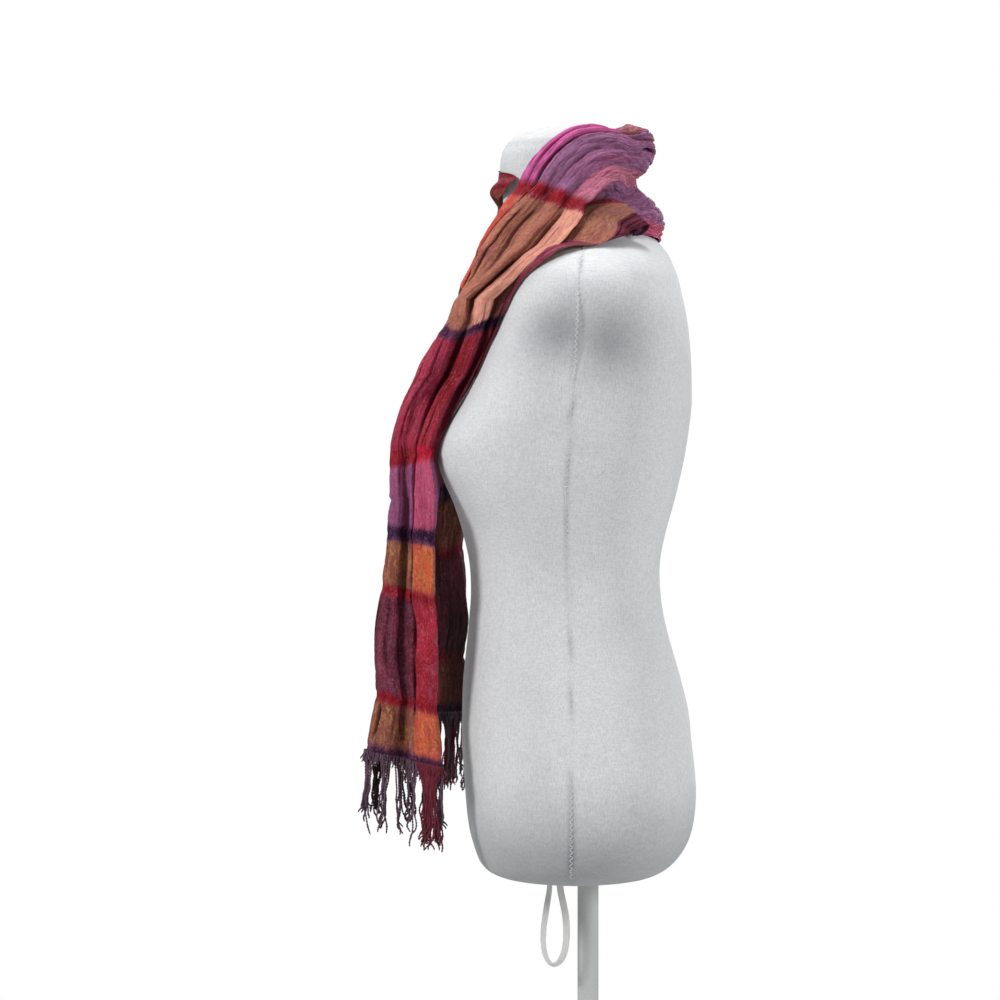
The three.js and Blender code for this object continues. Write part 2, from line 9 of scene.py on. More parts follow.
import bpy
import numpy as np
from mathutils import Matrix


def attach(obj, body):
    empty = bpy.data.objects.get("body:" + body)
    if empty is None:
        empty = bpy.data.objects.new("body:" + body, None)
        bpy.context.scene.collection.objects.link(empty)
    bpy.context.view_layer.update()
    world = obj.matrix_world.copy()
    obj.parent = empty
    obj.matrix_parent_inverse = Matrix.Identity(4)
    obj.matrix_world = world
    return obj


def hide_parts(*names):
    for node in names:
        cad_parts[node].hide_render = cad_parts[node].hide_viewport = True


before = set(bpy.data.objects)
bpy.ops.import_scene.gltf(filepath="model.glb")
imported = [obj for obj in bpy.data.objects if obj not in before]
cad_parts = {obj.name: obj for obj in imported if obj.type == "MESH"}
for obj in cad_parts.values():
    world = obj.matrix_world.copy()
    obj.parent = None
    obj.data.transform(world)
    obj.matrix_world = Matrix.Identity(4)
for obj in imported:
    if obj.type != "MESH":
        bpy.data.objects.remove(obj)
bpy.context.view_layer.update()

MM = 0.001

# Camera: one photo pixel is one millimetre at the form's middle plane.
PHOTO_SIDE = 1000
OPTICAL_MIDDLE = (-88, 984)
CAMERA_DISTANCE = 3600
SENSOR_WIDTH = 36

# Cloth: points across each flank, the step along the scarf, the part of a flank in which the cloth turns,
# how far its folds wander sideways, and how far it stands off the form.
POINTS_PER_FLANK = 26
ROW_STEP = 2.2
TURN = 0.4
WANDER = 4
FORM_CLEARANCE = 2.3
CLEARANCE_SOFTNESS = 3
LEAST_CLEARANCE = 1.1

# Where the neck wrap begins, from the nearer hem: its cloth is smoother and more rumpled past this stretch.
NECK_START = (590, 650)

# The far side's front edge is drawn forward off the throat: its place from its hem, its half width along,
# its width across and how far it is drawn, then its fold's place, half width and bulge, and how far its
# stripes shift.
FLAP_PLACE = 556
FLAP_HALF = 22
FLAP_WIDTH = 84
FLAP_DRAW = (-4, -126, -8)
FLAP_FOLD = 32
FLAP_FOLD_HALF = 24
FLAP_BULGE = (-32, 0, 0)
FLAP_STRIPE_SHIFT = 36

# Dress form: points round it, the step up its outline, and the swell of its bust.
FORM_SIDES = 176
FORM_STEP = 4.5
BUST_SIDE = 76
BUST_Z = 1030
BUST_SPREAD = 62
BUST_FALL = 58
BUST_OUT = 22

# Stand
POLE_RADIUS = 10.5
BASE_RADIUS = 165
BASE_THICKNESS = 8
COLLAR_RADIUS = 19
COLLAR_HEIGHT = 46
POLE_TOP = 668

# The dress form's rings, from the underside up: z, front, back, half width, and the power of the outline.
FORM_RINGS = np.array([
    (609, -74, 46, 104, 2.1),
    (613, -95, 68, 130, 2.1),
    (623, -107, 84, 148, 2.2),
    (640, -114, 97, 159, 2.2),
    (660, -119, 104, 166, 2.2),
    (688, -122, 107, 168, 2.2),
    (716, -124, 106, 166, 2.2),
    (744, -126, 103, 161, 2.2),
    (774, -126, 100, 154, 2.2),
    (804, -125, 93, 145, 2.2),
    (834, -122, 84, 135, 2.2),
    (864, -119, 76, 127, 2.2),
    (894, -117, 72, 122, 2.2),
    (924, -119, 72, 123, 2.2),
    (954, -126, 78, 129, 2.2),
    (979, -133, 85, 136, 2.3),
    (1004, -138, 91, 143, 2.3),
    (1029, -139, 96, 148, 2.3),
    (1054, -135, 100, 152, 2.3),
    (1079, -127, 103, 155, 2.3),
    (1104, -118, 103, 159, 2.3),
    (1129, -109, 102, 164, 2.3),
    (1152, -101, 100, 169, 2.2),
    (1172, -95, 97, 172, 2.1),
    (1190, -90, 93, 170, 2),
    (1206, -87, 89, 160, 2),
    (1219, -85, 84, 140, 2),
    (1230, -84, 79, 116, 2),
    (1240, -83, 71, 93, 2),
    (1252, -83, 61, 75, 2),
    (1268, -84, 53, 65, 2),
    (1292, -86, 47, 60, 2),
    (1318, -88, 43, 58, 2),
    (1336, -84, 39, 55, 2),
    (1347, -72, 28, 44, 2),
    (1354, -53, 10, 28, 2),
])
FORM_TOP_Z = 1357

# The cloth's flanks, from its front edge to its lower edge: flat width, then the heading out from the
# cloth's general lie, in degrees, in each zone. The far half of the scarf hangs in other folds.
FLANK_WIDTHS = np.array([19, 21, 27, 28, 28, 27, 22, 26, 29, 29, 29, 29, 23, 23])
CLOTH_WIDTH = FLANK_WIDTHS.sum()
ZONES = ["tail", "bust", "chest", "pinch", "shoulder", "yoke", "neck", "nape"]
NEAR_HEADINGS = np.array([
    (165, 165, 110, 150, 104, 50, 30, 60),
    (120, 92, 78, 130, 60, 40, 10, 36),
    (75, 85, 52, 95, 26, 50, 12, 12),
    (10, 62, 14, 80, -56, -62, -12, -6),
    (-50, -78, -40, 62, 28, 50, 14, -14),
    (66, 80, -84, -86, -84, -80, -24, -34),
    (3, 3, 46, 50, 34, 50, 4, -56),
    (-5, -5, -28, -50, 4, -36, -6, 10),
    (-95, -95, -95, -140, -165, -140, -56, 34),
    (-95, -95, 70, 10, -12, 0, 14, 20),
    (-170, -165, -100, -60, -30, 20, 10, 4),
    (-172, -165, 75, 20, -50, -20, -8, -4),
    (-176, -170, -165, -165, -160, -40, -10, -10),
    (-180, -175, -170, -170, -175, -64, -16, -18),
])
FAR_HEADINGS = np.array([
    (165, 165, 100, 100, 62, 56, 50, 60),
    (120, 100, 75, 20, -84, -30, 20, 36),
    (75, 85, 50, 60, 66, 40, 10, 12),
    (10, 40, 12, 0, -14, -9, -4, -6),
    (-50, -78, -34, -10, 16, 10, 4, -14),
    (66, 80, -84, -82, -80, -50, -20, -34),
    (3, 3, 40, 52, 70, 34, 4, -56),
    (-5, -5, -24, -20, -14, -14, -14, 10),
    (-95, -95, -95, -120, -158, -115, -70, 34),
    (-95, -95, 70, 30, 10, 15, 20, 20),
    (-170, -165, -100, -80, -56, -20, 16, 4),
    (-172, -165, 75, 60, 50, 20, -8, -4),
    (-176, -170, -165, -110, -52, -44, -36, -10),
    (-180, -175, -170, -90, -16, -38, -60, -18),
])

# Sections of the scarf from the hem of its left tail, round the nape, to the hem of its right tail: the
# middle, the way across, the width and depth of the folds, the zone, and how far the lower edge lags.
SECTION_KEYS = ["x", "y", "z", "ax", "ay", "az", "span", "depth", "zone", "lag"]
SECTIONS = np.array([
    (-182, -74, 727, 1, 0, 0, 77, 52, 0, -12),
    (-179, -75, 790, 1, 0, 0, 61, 46, 0, -12),
    (-179.5, -75, 850, 1, 0, 0, 62, 46, 0.25, -12),
    (-176, -75, 918, 1, 0, 0, 50, 44, 0.7, -8),
    (-172, -75, 984, 1, -0.1, 0, 48, 44, 1, 4),
    (-167, -73, 1040, 0.92, -0.35, -0.05, 52, 42, 1.4, 18),
    (-138.5, -75, 1105, 0.85, -0.35, -0.35, 60, 36, 2, 30),
    (-95, -84, 1178, 0.75, -0.42, -0.45, 67, 32, 3, 46),
    (-55, -93.5, 1228, 0.64, -0.6, -0.5, 99, 30, 4, 52),
    (-18, -91, 1270, 0.64, -0.45, -0.62, 119, 32, 4.95, 42),
    (14, -77, 1298.5, 0.54, -0.31, -0.79, 122, 30, 5.75, 24),
    (42, -55, 1300, 0.26, -0.2, -0.94, 109, 28, 6.4, 8),
    (56, -26, 1300, 0.18, -0.06, -0.99, 116, 28, 7, 0),
    (60, 0, 1299, 0.18, 0, -1, 115, 28, 7, 0),
    (56, 26, 1300, 0.18, 0.06, -0.99, 116, 28, 7, 0),
    (42, 54, 1299, 0.26, 0.2, -0.94, 118, 28, 6.4, -8),
    (17, 78, 1290, 0.48, 0.3, -0.82, 122, 30, 5.9, -22),
    (-24, 90, 1264, 0.64, 0.46, -0.62, 116, 32, 4.4, -36),
    (-72, 88, 1222, 0.6, 0.66, -0.46, 88, 30, 4, -42),
    (-112, 83, 1167, 0.5, 0.8, -0.3, 70, 26, 3, -42),
    (-146, 75, 1098, 0.62, 0.76, -0.16, 62, 30, 2, -34),
    (-165, 74, 1036, 0.85, 0.5, -0.05, 54, 36, 1.5, -26),
    (-157, 75, 980, 0.95, 0.3, 0, 67, 42, 1, -18),
    (-151, 75, 915, 0.97, 0.2, 0, 60, 44, 0.6, -12),
    (-152, 75, 850, 0.97, 0.2, 0, 60, 46, 0.2, -8),
    (-154, 75, 764, 0.97, 0.2, 0, 62, 50, 0, -2),
])

# The stretches of the scarf: node, first and last section, the record's slot, and how the cloth is held.
STRETCHES = [
    ("scarf_left_tail", 0, 7, "scarf_tail", "hung"),
    ("scarf_left_shoulder", 7, 10, "scarf_shoulder", "draped"),
    ("scarf_neck_wrap", 10, 16, "scarf_neck", "draped"),
    ("scarf_right_shoulder", 16, 19, "scarf_shoulder", "draped"),
    ("scarf_right_tail", 19, 25, "scarf_tail", "hung"),
]

# Gathers across the cloth: millimetres from the nearer hem, half width, and how hard they draw it in.
GATHERS = [
    (7, 5, 0.6),
    (60, 5, 0.8),
    (165, 6, 0.8),
    (223, 8, 0.9),
    (300, 9, 0.9),
    (443, 10, 1.0),
    (592, 7, 0.8),
]

# Creases pressed into the cloth: first and last place along from the nearer hem, then the place across,
# the depth and the half width.
CREASES = [
    (440, 590, 41, 5.0, 3.4),
    (578, 702, 43, 7.5, 3.6),
    (588, 696, 21, 4.0, 3.0),
    (490, 584, 96, 3.2, 3.0),
    (452, 580, 70, 3.8, 2.2),
    (448, 588, 148, 6.0, 2.4),
    (596, 650, 100, 1.6, 2.4),
    (600, 644, 118, 1.8, 2.2),
    (668, 760, 66, 5.0, 3.6),
    (684, 760, 94, 9.0, 3.6),
    (480, 570, 172, 2.0, 3.0),
    (500, 590, 238, 4.0, 3.4),
    (540, 650, 322, 2.6, 2.4),
    (540, 640, 340, 2.2, 2.2),
    (10, 62, 70, 7.0, 3.6),
    (10, 62, 98, 3.0, 3.0),
    (10, 62, 122, 6.0, 3.4),
    (66, 164, 84, 2.6, 5.0),
    (60, 150, 114, 2.4, 4.0),
    (40, 440, 150, 5.0, 3.6),
    (170, 218, 72, 2.6, 3.4),
    (225, 300, 66, 3.0, 3.6),
    (225, 300, 104, 2.6, 3.2),
    (304, 436, 66, 2.4, 4.2),
    (304, 436, 104, 2.0, 4.0),
    (300, 430, 172, 1.6, 3.0),
]

# The cover's tie: the same route as its solid's.
TIE_WIDTH = 7
TIE_THICKNESS = 2.0
TIE_ROWS = 121
TIE_SIDES = 16
TIE_ROUTE = [
    (-39, -26, 608.6),
    (-39, -26, 597),
    (-42, -27, 578),
    (-44.5, -27.5, 560),
    (-45, -28, 544),
    (-42, -28, 530),
    (-36, -28, 523),
    (-29, -28, 526),
    (-24, -27.5, 536),
    (-22, -27, 552),
    (-23, -26.5, 572),
    (-28, -25.5, 597),
    (-28, -25.5, 608.6),
]
# How far the tape's flat side is turned from the camera, in degrees, at each share of its length.
TIE_TWIST = ([0, 0.15, 0.35, 0.5, 0.62, 0.8, 1], [60, 38, 46, 58, 18, 8, 30])


# Numbers


def catmull(table, rows):
    """Smooth rows of a table at real row numbers."""
    last = len(table) - 1
    padded = np.vstack([2 * table[0] - table[1], table, 2 * table[-1] - table[-2]])
    clamped = np.clip(rows, 0, last)
    start = np.minimum(np.floor(clamped).astype(int), last - 1)
    part = (clamped - start)[:, None]
    before, here, after, beyond = (padded[start + step] for step in range(4))
    slope = after - before
    bend = 2 * before - 5 * here + 4 * after - beyond
    twist = 3 * (here - after) + beyond - before
    return here + 0.5 * part * (slope + part * (bend + part * twist))


def smooth_step(low, high, value):
    part = np.clip((value - low) / (high - low), 0, 1)
    return part * part * (3 - 2 * part)


def bump(value, middle, half):
    """1 at the middle, falling smoothly to 0 at about twice half."""
    return np.exp(-((value - middle) / half) ** 2)


LATTICE_SIDE = 256


def noise(x, y, seed):
    """Smooth noise from -1 to 1 on a repeatable lattice."""
    lattice = np.random.default_rng(seed).uniform(-1, 1, (LATTICE_SIDE, LATTICE_SIDE))
    x, y = np.broadcast_arrays(x, y)
    left = np.floor(x).astype(int)
    low = np.floor(y).astype(int)
    u = x - left
    v = y - low
    u = u * u * (3 - 2 * u)
    v = v * v * (3 - 2 * v)
    left, low = left % LATTICE_SIDE, low % LATTICE_SIDE
    right, high = (left + 1) % LATTICE_SIDE, (low + 1) % LATTICE_SIDE
    bottom = lattice[left, low] * (1 - u) + lattice[right, low] * u
    top = lattice[left, high] * (1 - u) + lattice[right, high] * u
    return bottom * (1 - v) + top * v


def unit(vectors):
    return vectors / np.maximum(np.linalg.norm(vectors, axis=-1, keepdims=True), 1e-9)


def angles_round(sides):
    """Angles of points spaced evenly round a circle."""
    return 2 * np.pi * np.arange(sides) / sides


# Dress form surface

DENSE_RING_COUNT = 700
DENSE_RINGS = catmull(FORM_RINGS, np.linspace(0, len(FORM_RINGS) - 1, DENSE_RING_COUNT))


def form_ring(z):
    """Middle, half depth, half width and power of the form's ring at each height."""
    front, back, side, square = (
        np.interp(z, DENSE_RINGS[:, 0], DENSE_RINGS[:, column]) for column in range(1, 5)
    )
    return (front + back) / 2, (back - front) / 2, side, square


def form_radius(z, angle):
    _, depth, side, square = form_ring(z)
    across = (np.abs(np.cos(angle)) / depth) ** square
    aside = (np.abs(np.sin(angle)) / side) ** square
    radius = (across + aside) ** (-1 / square)
    off_side = (np.abs(radius * np.sin(angle)) - BUST_SIDE) / BUST_SPREAD
    off_height = (z - BUST_Z) / BUST_FALL
    swell = BUST_OUT * np.exp(-2 * off_side ** 2 - 1.5 * off_height ** 2)
    return radius + np.where(np.cos(angle) > 0, 0, swell)


def form_depth(points):
    middle = form_ring(points[..., 2])[0]
    x = points[..., 0] - middle
    y = points[..., 1]
    return np.hypot(x, y) - form_radius(points[..., 2], np.arctan2(y, x))


def from_form(points):
    """Direction out of the form at each point, and the distance from its surface that way."""
    slope = np.empty_like(points)
    for axis in range(3):
        step = np.zeros(3)
        step[axis] = 1
        slope[..., axis] = (form_depth(points + step) - form_depth(points - step)) / 2
    size = np.linalg.norm(slope, axis=-1)
    return form_depth(points) / size, slope / size[..., None]


# Past this many times the softness, a point is far enough from the form to stay where it is.
SOFT_REACH = 12


def clear_of_form(points, least, softness=0):
    """Moves points out of the form: softly if softness is given, so that layers keep their order."""
    moved = points
    if softness:
        distance, outwards = from_form(moved)
        depth = np.clip((distance - least) / softness, -60, SOFT_REACH)
        cleared = least + softness * np.log1p(np.exp(depth))
        shift = np.where(distance - least > SOFT_REACH * softness, 0, cleared - distance)
        moved = moved + outwards * shift[..., None]
    for _ in range(3):
        distance, outwards = from_form(moved)
        moved = moved + outwards * np.maximum(least - distance, 0)[..., None]
    return moved


# Scarf folds

PATH_COUNT = 2001
NAPE_ROW = 13


def section_columns(rows):
    values = catmull(SECTIONS, rows)
    return {key: values[:, index] for index, key in enumerate(SECTION_KEYS)}


def scarf_path():
    """Millimetres along the scarf's middle at each of many real row numbers."""
    rows = np.linspace(0, len(SECTIONS) - 1, PATH_COUNT)
    middles = catmull(SECTIONS, rows)[:, :3]
    steps = np.linalg.norm(np.diff(middles, axis=0), axis=1)
    return rows, np.concatenate([[0], np.cumsum(steps)])


PATH_ROWS, PATH_LENGTHS = scarf_path()
SCARF_LENGTH = PATH_LENGTHS[-1]
PATH_MIDDLE = np.interp(NAPE_ROW, PATH_ROWS, PATH_LENGTHS)
GATHER_REACH = 28


def hem_distance(along):
    """Millimetres from the nearer hem."""
    return np.minimum(along, SCARF_LENGTH - along)


def gathered(along):
    """How strongly the cloth is drawn in, from 0 to 1, and the same over a wider stretch."""
    from_hem = hem_distance(along)
    near = np.zeros_like(along)
    wide = np.zeros_like(along)
    for place, half, pull in GATHERS:
        near = np.maximum(near, pull * bump(from_hem, place, half))
        wide = np.maximum(wide, pull * bump(from_hem, place, GATHER_REACH))
    return near, wide


def headings(section, distance, along):
    """Heading of the cloth across its width, in radians: rows by distances."""
    zone = np.clip(section["zone"], 0, len(ZONES) - 1)
    low = np.minimum(np.floor(zone).astype(int), len(ZONES) - 2)
    part = (zone - low)[:, None]
    near = (along < PATH_MIDDLE)[:, None]
    flank = np.where(
        near,
        NEAR_HEADINGS.T[low] * (1 - part) + NEAR_HEADINGS.T[low + 1] * part,
        FAR_HEADINGS.T[low] * (1 - part) + FAR_HEADINGS.T[low + 1] * part,
    )
    heading = np.repeat(flank[:, :1], len(distance), axis=1)
    edge = 0
    for index in range(1, len(FLANK_WIDTHS)):
        edge += FLANK_WIDTHS[index - 1]
        wander = WANDER * noise(along / 85, np.full_like(along, 7.3 * index), 21)
        start = (edge + wander - TURN * FLANK_WIDTHS[index - 1])[:, None]
        stop = (edge + wander + TURN * FLANK_WIDTHS[index])[:, None]
        turned = smooth_step(start, stop, distance[None, :])
        heading = heading + (flank[:, index] - flank[:, index - 1])[:, None] * turned
    return np.radians(heading)


def crinkle(along, distance):
    """Small turns of the cloth's heading, in radians: fine pleats that spread out between the gathers."""
    near, wide = gathered(along)
    v = along[:, None]
    u = distance[None, :]
    drift = 5 * noise(v / 110, u / 60, 31)
    broad = noise((u + drift) / 8.5, v / 75, 32)
    fine = noise((u + drift) / 3.6, v / 34, 33)
    pucker = noise(u / 2.1, v / 9, 34)
    round_neck = smooth_step(*NECK_START, hem_distance(v))
    pleats = 17 * (1 - 0.5 * round_neck) * broad
    return np.radians(pleats + (12 + 20 * wide[:, None]) * fine + 34 * near[:, None] * pucker)


def throat_flap(distance, along):
    """Draws the far side's front edge forward, where it stands off the throat."""
    held = bump(SCARF_LENGTH - along, FLAP_PLACE, FLAP_HALF)
    edge = 1 - smooth_step(0, FLAP_WIDTH, distance)
    fold = bump(distance, FLAP_FOLD, FLAP_FOLD_HALF)
    drawn = edge[:, None] * np.array(FLAP_DRAW) + fold[:, None] * np.array(FLAP_BULGE)
    return held[:, None, None] * drawn[None, :, :]


def scarf_grid(rows):
    """Points of the cloth at real row numbers: rows by columns, with its coordinates on the flat cloth."""
    section = section_columns(rows)
    middle = np.stack([section["x"], section["y"], section["z"]], -1)
    ahead = catmull(SECTIONS, rows + 0.02)[:, :3]
    behind = catmull(SECTIONS, rows - 0.02)[:, :3]
    lengthwise = unit(ahead - behind)
    across = np.stack([section["ax"], section["ay"], section["az"]], -1)
    across = unit(across - (across * lengthwise).sum(-1, keepdims=True) * lengthwise)
    out = np.cross(across, lengthwise)
    along = np.interp(rows, PATH_ROWS, PATH_LENGTHS)
    near, wide = gathered(along)

    flats = np.repeat(FLANK_WIDTHS / POINTS_PER_FLANK, POINTS_PER_FLANK)
    distance = np.concatenate([[0], np.cumsum(flats)])
    halfway = (distance[1:] + distance[:-1]) / 2
    heading = headings(section, halfway, along)
    turned = heading + crinkle(along, halfway)
    zero = np.zeros((len(rows), 1))
    a = np.concatenate([zero, np.cumsum(np.cos(turned) * flats, axis=1)], axis=1)
    b = np.concatenate([zero, np.cumsum(np.sin(turned) * flats, axis=1)], axis=1)
    puff = 1 + 0.035 * (1 - wide) - 0.05 * near
    widen = section["span"] * puff / (a.max(1) - a.min(1))
    deepen = section["depth"] * puff / (b.max(1) - b.min(1))
    a = (a - (a.max(1) + a.min(1))[:, None] / 2) * widen[:, None]
    b = (b - (b.max(1) + b.min(1))[:, None] / 2) * deepen[:, None]
    slide = section["lag"][:, None] * a / section["span"][:, None]
    points = (
        middle[:, None, :]
        + a[..., None] * across[:, None, :]
        + b[..., None] * out[:, None, :]
        + slide[..., None] * lengthwise[:, None, :]
    )
    points = points + throat_flap(distance, along)
    points = clear_of_form(points, FORM_CLEARANCE, CLEARANCE_SOFTNESS)
    return points, distance, along


def normals_of(points):
    lengthwise = np.gradient(points, axis=0)
    sideways = np.gradient(points, axis=1)
    return unit(np.cross(sideways, lengthwise))


def creased(distance, along):
    """Depth of the pressed creases and of the rumples at each row and column."""
    from_hem = hem_distance(along)[:, None]
    u = distance[None, :]
    v = along[:, None]
    leaning = noise((u + 0.5 * v) / 15, (v - 0.3 * u) / 19, 46)
    crossing = noise((u - 0.7 * v) / 11, (v + 0.4 * u) / 15, 47)
    rumples = (1 - np.abs(leaning)) ** 6 + 0.7 * (1 - np.abs(crossing)) ** 6
    depth = rumples * (0.5 + 1.6 * smooth_step(*NECK_START, from_hem))
    for first, last, across, deep, half in CREASES:
        held = smooth_step(first, first + 22, from_hem) * (1 - smooth_step(last - 22, last, from_hem))
        place = across + 5 * noise(along / 42, np.full_like(along, across), 45)[:, None]
        depth = depth + deep * held * bump(u, place, half)
    return depth


def wrinkled(points, distance, along):
    """Raises fine creases in the cloth along its length, and puckers at the gathers."""
    near, wide = gathered(along)
    u = distance[None, :]
    v = along[:, None]
    streaks = noise(u / 2.4, v / 26, 41) + 0.6 * noise(u / 1.6, v / 14, 42)
    puckers = noise(u / 1.9, v / 3.2, 43)
    dents = noise(u / 16, v / 22, 44)
    height = 0.2 * streaks + 0.6 * near[:, None] * puckers + 0.6 * dents * (1 - near[:, None])
    height = height - creased(distance, along)
    return clear_of_form(points + normals_of(points) * height[..., None], LEAST_CLEARANCE)


# Meshes


def linked(name, data):
    """A new object in the scene."""
    made = bpy.data.objects.new(name, data)
    bpy.context.scene.collection.objects.link(made)
    return made


def add_object(name, points, faces, smooth=True):
    mesh = bpy.data.meshes.new(name)
    mesh.from_pydata(np.asarray(points) * MM, [], faces)
    mesh.polygons.foreach_set("use_smooth", [smooth] * len(mesh.polygons))
    mesh.update()
    return linked(name, mesh)


def grid_faces(rows, columns, closed=False):
    """Quads of a grid of points, closed round if asked."""
    quads_across = columns if closed else columns - 1
    row, column = np.meshgrid(np.arange(rows - 1), np.arange(quads_across), indexing="ij")
    here = (row * columns + column).ravel()
    beside = (row * columns + (column + 1) % columns).ravel()
    return np.stack([here, beside, beside + columns, here + columns], -1)


def capped_faces(rows, sides):
    """Faces of a closed tube of points, with a cap on each end."""
    faces = [tuple(face) for face in grid_faces(rows, sides, closed=True)]
    faces.append(tuple(reversed(range(sides))))
    faces.append(tuple(range((rows - 1) * sides, rows * sides)))
    return faces


def set_uv(made, u, v):
    """A UV map of each vertex's own coordinates."""
    layer = made.data.uv_layers.new(name="flat")
    corners = np.empty(len(made.data.loops), int)
    made.data.loops.foreach_get("vertex_index", corners)
    layer.data.foreach_set("uv", np.stack([u[corners], v[corners]], -1).ravel())


def set_values(made, name, values):
    attribute = made.data.attributes.new(name, "FLOAT", "POINT")
    attribute.data.foreach_set("value", np.asarray(values, np.float32).ravel())


class JoinedMesh:
    """Many small meshes in one, with values for each one's vertices."""

    def __init__(self):
        self.points = []
        self.faces = []
        self.values = {}
        self.count = 0

    def add(self, part, quads, **values):
        self.points.append(part)
        self.faces.extend(tuple(index + self.count for index in face) for face in quads)
        self.count += len(part)
        for name, value in values.items():
            self.values.setdefault(name, []).append(np.broadcast_to(value, len(part)))

    def finish(self, name):
        made = add_object(name, np.concatenate(self.points), self.faces)
        for key, parts in self.values.items():
            set_values(made, key, np.concatenate(parts))
        return made


def finish_piece(made, material, nodes=()):
    made.data.materials.append(material)
    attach(made, "root")
    if nodes:
        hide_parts(*nodes)
    return made


# Materials


def colour(red, green, blue):
    """Linear colour from the values seen in the photo, out of 255."""
    def channel(value):
        part = value / 255
        return part / 12.92 if part <= 0.04045 else ((part + 0.055) / 1.055) ** 2.4
    return (channel(red), channel(green), channel(blue), 1)


class Shader:
    """Builds one node material with short calls."""

    def __init__(self, name, roughness, specular=0.5):
        self.material = bpy.data.materials.new(name)
        self.material.use_nodes = True
        self.tree = self.material.node_tree
        self.surface = self.tree.nodes["Principled BSDF"]
        self.set("Roughness", roughness)
        self.set("Specular IOR Level", specular)

    def set(self, socket, value):
        self.surface.inputs[socket].default_value = value

    def node(self, kind, inputs=None, **settings):
        made = self.tree.nodes.new(kind)
        for key, value in settings.items():
            setattr(made, key, value)
        for key, value in (inputs or {}).items():
            if isinstance(value, bpy.types.NodeSocket):
                self.tree.links.new(value, made.inputs[key])
            else:
                made.inputs[key].default_value = value
        return made

    def math(self, operation, first, second=0.0, third=0.0, clamp=False):
        inputs = {0: first, 1: second, 2: third}
        return self.node("ShaderNodeMath", inputs, operation=operation, use_clamp=clamp).outputs[0]

    def wave(self, value, period):
        return self.math("SINE", self.math("MULTIPLY", value, 2 * math.pi / period))

    def parts(self, vector):
        return self.node("ShaderNodeSeparateXYZ", {0: vector}).outputs

    def flat(self):
        """Coordinates on the flat cloth, in millimetres."""
        uv = self.node("ShaderNodeUVMap", uv_map="flat").outputs[0]
        return self.node("ShaderNodeVectorMath", {0: uv, "Scale": 1 / MM}, operation="SCALE").outputs[0]

    def object_millimetres(self):
        place = self.node("ShaderNodeTexCoord").outputs["Object"]
        return self.node("ShaderNodeVectorMath", {0: place, "Scale": 1 / MM}, operation="SCALE").outputs[0]

    def stretched(self, vector, x, y, z=1):
        """The vector divided by a size on each axis."""
        sizes = (1 / x, 1 / y, 1 / z)
        return self.node("ShaderNodeVectorMath", {0: vector, 1: sizes}, operation="MULTIPLY").outputs[0]

    def noise(self, vector, detail=2.0, roughness=0.5, distortion=0.0):
        inputs = {
            "Vector": vector,
            "Scale": 1,
            "Detail": detail,
            "Roughness": roughness,
            "Distortion": distortion,
        }
        return self.node("ShaderNodeTexNoise", inputs).outputs[0]

    def attribute(self, name):
        return self.node("ShaderNodeAttribute", attribute_name=name).outputs["Fac"]

    def between(self, value, low, high, to_low=0.0, to_high=1.0):
        inputs = {
            "Value": value,
            "From Min": low,
            "From Max": high,
            "To Min": to_low,
            "To Max": to_high,
        }
        return self.node("ShaderNodeMapRange", inputs).outputs[0]

    def mix(self, share, first, second, blend="MIX"):
        made = self.node("ShaderNodeMix", data_type="RGBA", blend_type=blend)
        for index, value in ((0, share), (6, first), (7, second)):
            if isinstance(value, bpy.types.NodeSocket):
                self.tree.links.new(value, made.inputs[index])
            else:
                made.inputs[index].default_value = value
        return made.outputs[2]

    def tint(self, base, share, strength, shade, blend="MIX"):
        """Lays a shade over the base, by its share at each point and its strength."""
        return self.mix(self.math("MULTIPLY", share, strength), base, shade, blend)

    def ramp(self, value, stops, span):
        """A colour for each stretch along a length: stops are (place, colour), each soft-edged."""
        made = self.node("ShaderNodeValToRGB", {"Fac": self.math("DIVIDE", value, span)})
        elements = made.color_ramp.elements
        for index, (place, shade) in enumerate(stops):
            element = elements[index] if index < 2 else elements.new(place / span)
            element.position = place / span
            element.color = shade
        return made.outputs[0]

    def bump(self, height, distance, strength=1.0, normal=None):
        inputs = {"Height": height, "Distance": distance * MM, "Strength": strength}
        if normal is not None:
            inputs["Normal"] = normal
        return self.node("ShaderNodeBump", inputs).outputs[0]

    def connect(self, socket, value):
        self.tree.links.new(value, self.surface.inputs[socket])


# Dyes of the stripes
HEM_BAND = colour(112, 76, 100)
PURPLE_GATHER = colour(54, 14, 62)
RED_GATHER = colour(156, 0, 26)
PINK_GATHER = colour(206, 14, 54)
BROWN = colour(148, 88, 66)
ORANGE = colour(218, 96, 52)
CORAL = colour(230, 88, 76)
PLUM = colour(98, 20, 46)
CRIMSON = colour(172, 10, 40)
LILAC = colour(156, 86, 132)
PINK = colour(208, 86, 126)
MAROON = colour(180, 38, 72)
RED = colour(162, 0, 22)
TAN = colour(184, 118, 98)
SALMON = colour(250, 176, 154)
MAUVE = colour(158, 104, 148)
ROSE_MAUVE = colour(208, 124, 150)
MAGENTA = colour(226, 104, 178)
WINE = colour(128, 26, 62)
DUSTY_BROWN = colour(156, 96, 96)

